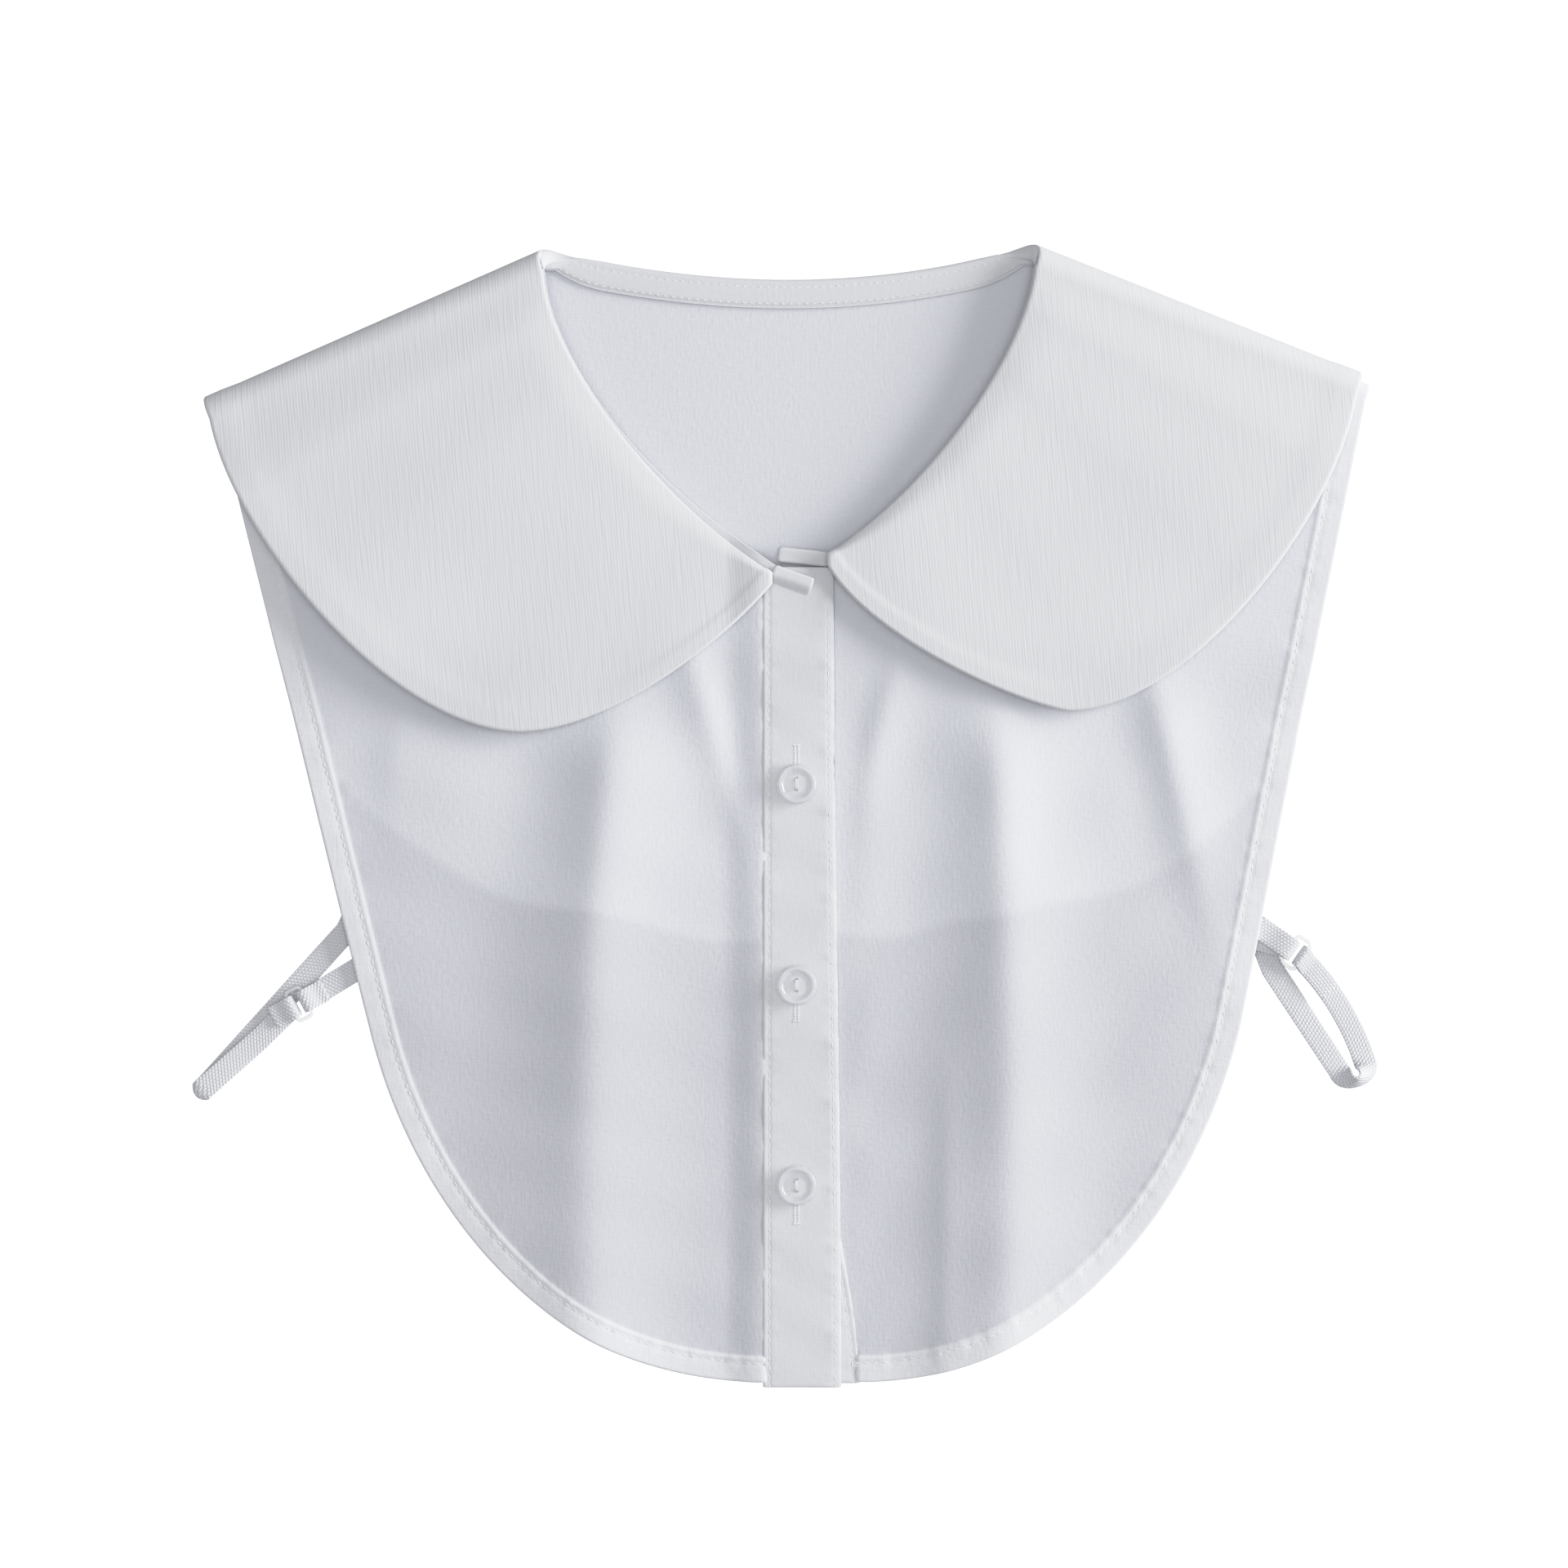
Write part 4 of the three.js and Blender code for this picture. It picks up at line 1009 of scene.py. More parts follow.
def strap_start(side):
    """Just off the back panel's edge, where the CAD strap starts too."""
    edge = spaced(inward(side, back_edge(side), -STRAP_GAP), 200)
    return at_height(edge[round(200 * STRAP_FROM)], strap_mid)


def straight(start, end, count):
    """Stations between two stations, ends left out."""
    shares = np.linspace(0, 1, count + 2)[1:-1]
    return [(lerp(start[0], end[0], s), lerp(start[1], end[1], s)) for s in shares]


def left_stations():
    out, fold, hold = [loop_place(LOOPS["left"][key]) for key in ("exit", "end", "ring")]
    way, back = heading_of(out, fold), heading_of(hold, fold)
    start = strap_start(LEFT)
    first = (start, heading(heading_of(start, out) + 90))
    leave = (at_height(out, strap_mid), heading(way + 90))
    turn = []
    for share in np.linspace(0, 1, 25):
        angle = (share - 0.5) * math.pi
        at = fold + heading(way) * LOOP_FOLD * (math.cos(angle) - 1)
        high = strap_mid + LOOP_FOLD * (1 + math.sin(angle))
        bulge = heading(way) * LOOP_BULGE * math.cos(angle)
        turn.append((at_height(at, high), heading(lerp(way, back, share) + 90), bulge))
    home = []
    for share in np.linspace(0.06, 0.6, 10):
        high = lerp(strap_mid + 2 * LOOP_FOLD, strap_above, smoothstep(share, 0, 0.6))
        side = heading(lerp(back, RING_HEADING["left"], share) + 90)
        home.append((at_height(lerp(fold, hold, share), high), side))
    bar = [(at, -side) for at, side in round_bar(hold, RING_HEADING["left"] + 180)]
    run = straight(leave, turn[0], 14)
    last = straight(home[-1], bar[0], 6)
    return [first, *straight(first, leave, 2), leave, *run, *turn, *home, *last, *bar]


def right_stations():
    out, turn, hold = [loop_place(LOOPS["right"][key]) for key in ("exit", "end", "ring")]
    start = strap_start(RIGHT)
    first = (start, heading(heading_of(start, out) + 90))
    entry = turn + heading(LOOP_FROM) * LOOP_TURN
    leave = (at_height(out, strap_mid), heading(heading_of(out, entry) + 90))
    bend = []
    for share in np.linspace(0, 1, 29):
        bank = math.radians(LOOP_BANK) * math.sin(share * math.pi)
        angle = LOOP_FROM + 180 * share
        at = turn + heading(angle) * LOOP_TURN
        side = heading(angle + 180) * math.cos(bank)
        side[2] = math.sin(bank)
        bend.append((at_height(at, strap_mid + STRAP_WIDTH / 2 * math.sin(bank)), side))
    last = bend[-1][0]

    def homewards(share, above):
        """A place between the bend and the ring, on the strap or on its turned-back end above it."""
        at = lerp(last, hold, share) + heading(30) * 4 * share * (1 - share) * LOOP_BOW
        high = lerp(strap_mid, strap_above, smoothstep(share, 0.3, 0.85)) + above
        return at_height(at, high), heading(lerp(LOOP_FROM, RING_HEADING["right"] + 270, share))

    home = [homewards(share, 0) for share in np.linspace(0.1, 0.9, 12)]
    end = [homewards(share, STRAP_CLOTH + 0.1) for share in np.linspace(0.88, 0.62, 8)]
    bar = round_bar(hold, RING_HEADING["right"] + 180)[:17]
    run = straight(leave, bend[0], 14)
    return [first, *straight(first, leave, 2), leave, *run, *bend, *home, *bar, *end]


def tab_stations(name):
    ring, hem = loop_place(LOOPS[name]["ring"]), loop_place(LOOPS[name]["tab"])
    towards = heading_of(hem, ring)
    start = (at_height(hem - heading(towards) * TAB_UNDER_HEM, strap_above), heading(towards + 90))
    bar = round_bar(ring, RING_HEADING[name], TURNED_BACK[name])
    return [start, *straight(start, bar[0], 6), *bar]


# %% Make the straps
STRAP_STEPS = np.linspace(-0.5, 0.5, 9)


def strap(name, stations):
    at = np.array([station[0] for station in stations])
    side = np.array([station[1] for station in stations])
    side /= np.linalg.norm(side, axis=1, keepdims=True)
    rows = at[:, None] + side[:, None] * STRAP_STEPS[None, :, None] * (STRAP_WIDTH - 0.5)
    bulge = np.array([station[2] if len(station) > 2 else (0, 0, 0) for station in stations])
    rows = rows + bulge[:, None] * (1 - (2 * STRAP_STEPS[None, :, None]) ** 2)
    along = np.broadcast_to(lengths_along(at)[:, None], rows.shape[:2])
    across = np.broadcast_to(STRAP_STEPS[None] * STRAP_WIDTH, rows.shape[:2])
    crown = 0.4 + 0.06 * np.cos(STRAP_STEPS * np.pi)[None]
    return sheet(name, rows, crown, crown, uv=np.stack([along, across], axis=-1), rim=0.6)


elastic_left = strap("elastic_left_piece", left_stations())
elastic_right = strap("elastic_right_piece", right_stations())
elastic_tab_left = strap("elastic_tab_left_piece", tab_stations("left"))
elastic_tab_right = strap("elastic_tab_right_piece", tab_stations("right"))

# %% [markdown]
# The rings
#
# Each ring is a rounded oblong of clear moulded wire. A tube is a circle carried along a closed
# path: here the path is a rectangle with quarter-circle corners, and twelve points go round it.


# %% Make the rings
def oblong(half_x, half_y, corner, steps):
    """Points round an oblong with rounded corners."""
    points = []
    for k, (x, y) in enumerate([(1, 1), (-1, 1), (-1, -1), (1, -1)]):
        centre = np.array([x * (half_x - corner), y * (half_y - corner)])
        for angle in np.radians(90 * k + np.linspace(0, 90, steps)):
            points.append(centre + corner * np.array([math.cos(angle), math.sin(angle)]))
    return spaced(np.array([*points, points[0]]), 96)[:-1]


def ring(name, loop):
    long = STRAP_WIDTH + 2 * RING_SLACK + RING_WIRE
    path = oblong(RING_BARS / 2, long / 2, RING_CORNER, 9)
    turn = math.radians(RING_HEADING[loop])
    spin = np.array([[math.cos(turn), math.sin(turn)], [-math.sin(turn), math.cos(turn)]])
    path = path @ spin
    ahead = np.roll(path, -1, axis=0) - np.roll(path, 1, axis=0)
    ahead /= np.linalg.norm(ahead, axis=1, keepdims=True)
    out = np.stack([ahead[:, 1], -ahead[:, 0], 0 * ahead[:, 0]], axis=1)
    angles = np.linspace(0, 2 * np.pi, 13)[:-1]
    centre = loop_place(LOOPS[loop]["ring"], ring_height)
    flat = np.concatenate([path, np.zeros((len(path), 1))], axis=1) + centre
    cosines, sines = np.cos(angles)[None, :, None], np.sin(angles)[None, :, None]
    round_wire = cosines * out[:, None] + sines * np.array([0, 0, 1])
    points = (flat[:, None] + RING_WIRE / 2 * round_wire).reshape(-1, 3)
    count, sides = len(path), len(angles)
    i, j = np.meshgrid(np.arange(count), np.arange(sides), indexing="ij")
    a, b = (i * sides + j).ravel(), ((i + 1) % count * sides + j).ravel()
    c, d = ((i + 1) % count * sides + (j + 1) % sides).ravel(), (i * sides + (j + 1) % sides).ravel()
    quads = outwards(points, np.stack([a, b, c, d], axis=1))
    return add_object(name, points, quads.tolist())


ring_left = ring("ring_left_piece", "left")
ring_right = ring("ring_right_piece", "right")
print("ring wire, mm:", RING_WIRE)

# %% [markdown]
# The buttons
#
# A shirt button is turned on a lathe: a rounded rim, a dished middle and two holes for the thread.
# Its outline is revolved in 72 steps, and a Boolean modifier drills the holes, because a hole cut
# through a finished solid leaves clean walls. The result is turned into a plain mesh.


# %% Make the buttons
def lathe(profile, steps):
    """A closed body of revolution from (radius, height) pairs whose ends lie on the axis."""
    body = profile[1:-1]
    angles = np.linspace(0, 2 * np.pi, steps + 1)[:-1]
    rings = [[(r * math.cos(a), r * math.sin(a), z) for a in angles] for r, z in body]
    around = [point for ring_points in rings for point in ring_points]
    points = [(0, 0, profile[0][1]), *around, (0, 0, profile[-1][1])]
    faces = []
    last = len(points) - 1
    for k in range(steps):
        n = (k + 1) % steps
        faces.append((0, 1 + n, 1 + k))
        for level in range(len(body) - 1):
            low, high = 1 + level * steps, 1 + (level + 1) * steps
            faces.append((low + k, low + n, high + n, high + k))
        top = 1 + (len(body) - 1) * steps
        faces.append((top + k, top + n, last))
    return np.array(points, float), faces


def plain_mesh(piece):
    """Bakes a piece's modifiers into its mesh and takes them off."""
    depsgraph = bpy.context.evaluated_depsgraph_get()
    mesh = bpy.data.meshes.new_from_object(piece.evaluated_get(depsgraph), depsgraph=depsgraph)
    piece.modifiers.clear()
    piece.data = mesh
    return piece


def button_profile():
    radius, inside = BUTTON_DIAMETER / 2, BUTTON_DIAMETER / 2 - BUTTON_RIM
    dish = BUTTON_THICKNESS - BUTTON_DISH
    corner = [(radius - 0.9, 0), (radius - 0.45, 0.12), (radius - 0.15, 0.45), (radius, 1.0)]
    top = BUTTON_THICKNESS
    rim = [(radius - 0.02, 1.5), (radius - 0.2, top - 0.35), (radius - 0.55, top - 0.05)]
    crown = [(radius - 0.9, top), (inside, top - 0.12), (inside - 0.35, dish + 0.2)]
    well = [(inside - 0.7, dish + 0.02), (inside * 0.5, dish - 0.12), (0.4, dish - 0.16)]
    return [(0, 0), (0.4, 0), (inside * 0.6, 0), *corner, *rim, *crown, *well, (0, dish - 0.16)]


def make_button(name, x, y, base):
    points, faces = lathe(button_profile(), 72)
    piece = add_object(name, points + (x, y, base), faces)
    for way in (-0.5, 0.5):
        drill_points, drill_faces = lathe([(0, -1), (BUTTON_HOLE / 2, -1), (BUTTON_HOLE / 2, 4), (0, 4)], 20)
        drill = add_object("drill", drill_points + (x, y + way * BUTTON_HOLE_SPACING, base), drill_faces)
        cut = piece.modifiers.new("hole", "BOOLEAN")
        cut.operation, cut.object = "DIFFERENCE", drill
        plain_mesh(piece)
        bpy.data.objects.remove(drill)
    piece.data.shade_smooth()
    piece.data.set_sharp_from_angle(angle=math.radians(40))
    return piece


buttons, button_places = [], []
for k in range(BUTTON_COUNT):
    y = -FIRST_BUTTON - k * BUTTON_PITCH
    base = float(front_base(BUTTON_X, y)) + overlap_lift + PLACKET_CLOTH / 2 + SEAM
    buttons.append(make_button(f"button_{k + 1}_piece", BUTTON_X, y, base))
    button_places.append((BUTTON_X, y, base))
print("buttons:", [len(button.data.polygons) for button in buttons], "faces")

# %% [markdown]
# Patterns of thread
#
# Seen close, no cloth is one flat colour. The effects that more than one finish uses are shader
# node groups with named inputs: a rib, a plain weave, a braid for the elastic, and a soft mottle.
# They put out only a height and a shade that change over the surface. The height feeds a Bump node
# and the shade mixes two nearly equal colours, so the thread shows as it does on the real cloth. In the
# rib, the weave and the braid the shade is the height itself, so that mix is painted shade in the low
# places of the threads and painted highlight on their tops; only the mottle's shade is an uneven tone.


# %% Small helpers for node trees
def calc(tree, operation, *values):
    """A Math node on numbers and sockets. Returns its output."""
    node = tree.nodes.new("ShaderNodeMath")
    node.operation = operation
    for slot, value in zip(node.inputs, values):
        if isinstance(value, bpy.types.NodeSocket):
            tree.links.new(value, slot)
        else:
            slot.default_value = value
    return node.outputs[0]


def noise(tree, vector, scale, detail=2.0):
    node = tree.nodes.new("ShaderNodeTexNoise")
    tree.links.new(vector, node.inputs["Vector"])
    node.inputs["Detail"].default_value = detail
    if isinstance(scale, bpy.types.NodeSocket):
        tree.links.new(scale, node.inputs["Scale"])
    else:
        node.inputs["Scale"].default_value = scale
    return node.outputs["Fac"]


def pattern_group(name, inputs, outputs):
    tree = bpy.data.node_groups.new(name, "ShaderNodeTree")
    tree.interface.new_socket("Vector", in_out="INPUT", socket_type="NodeSocketVector")
    for label, value in inputs.items():
        socket = tree.interface.new_socket(label, in_out="INPUT", socket_type="NodeSocketFloat")
        socket.default_value = value
    for label in outputs:
        tree.interface.new_socket(label, in_out="OUTPUT", socket_type="NodeSocketFloat")
    given, result = tree.nodes.new("NodeGroupInput"), tree.nodes.new("NodeGroupOutput")
    split = tree.nodes.new("ShaderNodeSeparateXYZ")
    tree.links.new(given.outputs["Vector"], split.inputs[0])
    return tree, given, result, split


def wave(tree, value, pitch):
    """Swings between 0 and 1 once in each pitch."""
    turns = calc(tree, "MULTIPLY", calc(tree, "DIVIDE", value, pitch), 2 * math.pi)
    return calc(tree, "MULTIPLY_ADD", calc(tree, "SINE", turns), 0.5, 0.5)


# %% The four patterns
def rib_group():
    """Fine ribs, nearly along Y: a swing across them, broken up by noise that is drawn out along."""
    tree, given, result, split = pattern_group("ribs", {"Pitch": 0.001, "Slant": 0.1}, ["Height", "Shade"])
    leaning = calc(tree, "MULTIPLY_ADD", split.outputs["Y"], given.outputs["Slant"], split.outputs["X"])
    ribs = wave(tree, leaning, given.outputs["Pitch"])
    drawn = tree.nodes.new("ShaderNodeCombineXYZ")
    tree.links.new(leaning, drawn.inputs["X"])
    tree.links.new(calc(tree, "MULTIPLY", split.outputs["Y"], 0.06), drawn.inputs["Y"])
    strands = noise(tree, drawn.outputs[0], calc(tree, "DIVIDE", 1.15, given.outputs["Pitch"]), 1.0)
    patches = noise(tree, given.outputs["Vector"], 30.0, 2.0)
    even = calc(tree, "MULTIPLY", ribs, calc(tree, "MULTIPLY", patches, 0.5))
    height = calc(tree, "ADD", even, calc(tree, "MULTIPLY_ADD", strands, 1.3, -0.3))
    tree.links.new(height, result.inputs["Height"])
    # The shade is the height: the low places of the ribs get painted shade.
    tree.links.new(height, result.inputs["Shade"])
    return tree


def weave_group():
    """A thin plain weave whose threads are uneven, so it looks mottled rather than squared."""
    tree, given, result, split = pattern_group("plain_weave", {"Pitch": 0.0008}, ["Height", "Shade"])
    per_pitch = calc(tree, "DIVIDE", 1.0, given.outputs["Pitch"])
    parts = []
    for along, across in (("X", "Y"), ("Y", "X")):
        drawn = tree.nodes.new("ShaderNodeCombineXYZ")
        tree.links.new(split.outputs[along], drawn.inputs["X"])
        tree.links.new(calc(tree, "MULTIPLY", split.outputs[across], 0.3), drawn.inputs["Y"])
        parts.append(noise(tree, drawn.outputs[0], per_pitch, 2.0))
    height = calc(tree, "MULTIPLY_ADD", calc(tree, "ADD", *parts), 1.1, -0.6)
    tree.links.new(height, result.inputs["Height"])
    # The shade is the height: the low places of the weave get painted shade.
    tree.links.new(height, result.inputs["Shade"])
    return tree


def braid_group():
    """Rows of small raised loops, each row half a loop behind the next, as in knitted elastic."""
    inputs = {"Pitch": 0.0013, "Width": 0.001}
    tree, given, result, split = pattern_group("braid", inputs, ["Height", "Shade"])
    pitch = given.outputs["Pitch"]
    lanes = calc(tree, "DIVIDE", split.outputs["Y"], given.outputs["Width"])
    lane, within = calc(tree, "FLOOR", lanes), calc(tree, "FRACT", lanes)
    half_behind = calc(tree, "MULTIPLY", lane, calc(tree, "MULTIPLY", pitch, 0.5))
    lean = calc(tree, "MULTIPLY", within, calc(tree, "MULTIPLY", pitch, 0.35))
    along = calc(tree, "ADD", calc(tree, "ADD", split.outputs["X"], half_behind), lean)
    rounded = calc(tree, "SINE", calc(tree, "MULTIPLY", within, math.pi))
    loops = calc(tree, "MULTIPLY", wave(tree, along, pitch), rounded)
    # Uneven loop heights; as the shade follows the height, they vary the painted shade too.
    uneven_loops = noise(tree, given.outputs["Vector"], 60.0, 1.0)
    height = calc(tree, "MULTIPLY", loops, calc(tree, "MULTIPLY_ADD", uneven_loops, 1.4, 0.2))
    # The shade is the height: painted shade between the loops and painted highlight on their tops.
    tree.links.new(height, result.inputs["Height"])
    tree.links.new(height, result.inputs["Shade"])
    return tree


def mottle_group():
    tree, given, result, split = pattern_group("soft_mottle", {"Scale": 25.0}, ["Shade"])
    value = noise(tree, given.outputs["Vector"], given.outputs["Scale"], 3.0)
    wide = calc(tree, "MULTIPLY_ADD", value, 1.6, -0.3)
    tree.links.new(wide, result.inputs["Shade"])
    return tree


PATTERNS = {
    "ribs": rib_group(),
    "weave": weave_group(),
    "braid": braid_group(),
    "mottle": mottle_group(),
}
print("patterns:", sorted(PATTERNS))

# %% [markdown]
# Finishes
#
# The collar's cloth is a firm white with fine ribs. The bib is a thinner, cooler white. Two layers of it
# are really whiter than one, and its colour also carries painted shade: below the back panel's rounded
# hem the single cloth is painted darker, as if the shaded table showed through it, and over the back
# panel it is painted lighter, so the hem shows through as an edge between two tones. The attribute
# `backed_lighter` carries that from the mesh to the shader. The hems and the placket are folded cloth, whiter
# and firmer; the hems' whiter tone is partly painted too, as if their layers hid that shade. Each
# finish is a Principled BSDF whose plain numbers stand on its own sockets, and only what varies is
# linked.


# %% Material builders
def group_node(tree, pattern, vector, **values):
    node = tree.nodes.new("ShaderNodeGroup")
    node.node_tree = PATTERNS[pattern]
    tree.links.new(vector, node.inputs["Vector"])
    for label, value in values.items():
        node.inputs[label.replace("_", " ")].default_value = value
    return node


def mix(tree, factor, a, b):
    node = tree.nodes.new("ShaderNodeMix")
    node.data_type = "RGBA"
    tree.links.new(factor, node.inputs["Factor"])
    for index, value in ((6, a), (7, b)):
        if isinstance(value, bpy.types.NodeSocket):
            tree.links.new(value, node.inputs[index])
        else:
            node.inputs[index].default_value = (*value, 1)
    return node.outputs[2]


def shaded(colour, factor):
    return tuple(channel * factor for channel in colour)


def attribute(tree, name):
    node = tree.nodes.new("ShaderNodeAttribute")
    node.attribute_name = name
    return node.outputs["Fac"]


def coordinates(tree, kind="Object"):
    return tree.nodes.new("ShaderNodeTexCoord").outputs[kind]


def new_material(name, **sockets):
    material = bpy.data.materials.new(name)
    material.use_nodes = True
    shader = material.node_tree.nodes["Principled BSDF"]
    for label, value in sockets.items():
        shader.inputs[label.replace("_", " ")].default_value = value
    return material, material.node_tree, shader


def bump(tree, shader, height, strength, distance):
    node = tree.nodes.new("ShaderNodeBump")
    node.inputs["Strength"].default_value = strength
    node.inputs["Distance"].default_value = distance
    tree.links.new(height, node.inputs["Height"])
    tree.links.new(node.outputs[0], shader.inputs["Normal"])


CLOTH = {"Sheen_Weight": 0.12, "Sheen_Roughness": 0.5, "Specular_IOR_Level": 0.25}


def cloth_material(name, colour, pattern, strength, contrast, **pattern_values):
    """A cloth whose thread pattern gives it its relief, its gloss and its tone, which is painted shade in the
    low places of its threads.
    """
    material, tree, shader = new_material(name, **CLOTH)
    vector = coordinates(tree)
    threads = group_node(tree, pattern, vector, **pattern_values)
    if isinstance(colour, dict):
        # Painted shade: the single cloth is darker, the cloth over the back panel lighter and the hem whiter.
        thin = mix(tree, attribute(tree, "backed_lighter"), colour["thin"], colour["backed_lighter"])
        base = mix(tree, attribute(tree, "hem"), thin, colour["hem"])
    else:
        mottle = group_node(tree, "mottle", vector, Scale=28.0)
        base = mix(tree, mottle.outputs["Shade"], shaded(colour, 0.985), shaded(colour, 1.01))
    dark = tree.nodes.new("ShaderNodeMix")
    dark.data_type, dark.blend_type = "RGBA", "MULTIPLY"
    tree.links.new(base, dark.inputs[6])
    # Painted shade: where the threads lie low, the colour is darkened by up to contrast.
    grey = mix(tree, threads.outputs["Shade"], (1 - contrast,) * 3, (1.0, 1.0, 1.0))
    tree.links.new(grey, dark.inputs[7])
    dark.inputs[0].default_value = 1.0
    tree.links.new(dark.outputs[2], shader.inputs["Base Color"])
    rough = calc(tree, "MULTIPLY_ADD", threads.outputs["Shade"], -0.12, 0.92)
    tree.links.new(rough, shader.inputs["Roughness"])
    bump(tree, shader, threads.outputs["Height"], strength, 0.0004)
    return material


# %% The finishes of this garment
COLLAR_WHITE = (0.667, 0.674, 0.698)
# The bib's tones carry painted shade: the thin tone is painted darker as if the shaded table showed through
# the cloth, the tone over the back panel lighter, and the hem whiter on its folded layers, partly painted
# too.
BIB_WHITE_AND_SHADE = {"thin": (0.594, 0.6, 0.648), "backed_lighter": (0.668, 0.675, 0.729), "hem": (0.74, 0.748, 0.787)}
FOLDED_WHITE = (0.65, 0.657, 0.685)
STRAP_WHITE = (0.73, 0.736, 0.775)
THREAD_WHITE = (0.78, 0.785, 0.80)

collar_cloth = cloth_material("collar_ribbed", COLLAR_WHITE, "ribs", 0.17, 0.035, Pitch=0.00085, Slant=0.09)
bib_cloth = cloth_material("bib_weave", BIB_WHITE_AND_SHADE, "weave", 0.2, 0.06, Pitch=0.0008)
folded_cloth = cloth_material("folded_weave", FOLDED_WHITE, "weave", 0.12, 0.03, Pitch=0.0008)


def strap_material():
    material, tree, shader = new_material("elastic_braid", **CLOTH)
    braid = group_node(tree, "braid", coordinates(tree, "UV"), Pitch=0.0011, Width=0.0009)
    # Painted shade and highlight: the braid's low places go down to 0.84 of the strap's white, the tops of
    # its loops up to 1.2.
    colour = mix(tree, braid.outputs["Shade"], shaded(STRAP_WHITE, 0.84), shaded(STRAP_WHITE, 1.2))
    tree.links.new(colour, shader.inputs["Base Color"])
    rough = calc(tree, "MULTIPLY_ADD", braid.outputs["Shade"], -0.15, 0.85)
    tree.links.new(rough, shader.inputs["Roughness"])
    bump(tree, shader, braid.outputs["Height"], 0.55, 0.0004)
    return material


def thread_material():
    material, tree, shader = new_material("sewing_thread", Specular_IOR_Level=0.4)
    twist = group_node(tree, "mottle", coordinates(tree), Scale=1400.0)
    colour = mix(tree, twist.outputs["Shade"], shaded(THREAD_WHITE, 0.93), shaded(THREAD_WHITE, 1.06))
    tree.links.new(colour, shader.inputs["Base Color"])
    rough = calc(tree, "MULTIPLY_ADD", twist.outputs["Shade"], -0.2, 0.62)
    tree.links.new(rough, shader.inputs["Roughness"])
    return material


def clear_material(name, tint, solid, rough, marks_scale):
    """Clear plastic: mostly let through, with a gloss on top and faint moulding marks inside."""
    material, tree, shader = new_material(name, IOR=1.5, Coat_Weight=0.8, Coat_Roughness=0.05)
    marks = group_node(tree, "mottle", coordinates(tree), Scale=marks_scale)
    colour = mix(tree, marks.outputs["Shade"], shaded(tint, 0.94), tint)
    tree.links.new(colour, shader.inputs["Base Color"])
    gloss = calc(tree, "MULTIPLY_ADD", marks.outputs["Shade"], 0.08, rough)
    tree.links.new(gloss, shader.inputs["Roughness"])
    clear = calc(tree, "MULTIPLY_ADD", marks.outputs["Shade"], 0.12, solid)
    tree.links.new(clear, shader.inputs["Alpha"])
    bump(tree, shader, marks.outputs["Shade"], 0.1, 0.0002)
    return material


elastic_cloth = strap_material()
thread = thread_material()
button_plastic = clear_material("button_plastic", (0.76, 0.77, 0.81), 0.34, 0.12, 260.0)
ring_plastic = clear_material("ring_plastic", (0.80, 0.81, 0.84), 0.45, 0.08, 500.0)

# %% [markdown]
# Stitches with Geometry Nodes
#
# A seam is the same stitch again and again along a path, which is what Geometry Nodes are for. The
# tree below takes a mesh of connected points that lies on the cloth, makes it a curve, places a
# point every pitch, and sets one small pill of thread there, turned along the path and out of the
# cloth by the attribute `outward`. A turn of 90 degrees lays the pills across the path, as in a
# buttonhole or a bar tack. The tree ends in real geometry with its material.


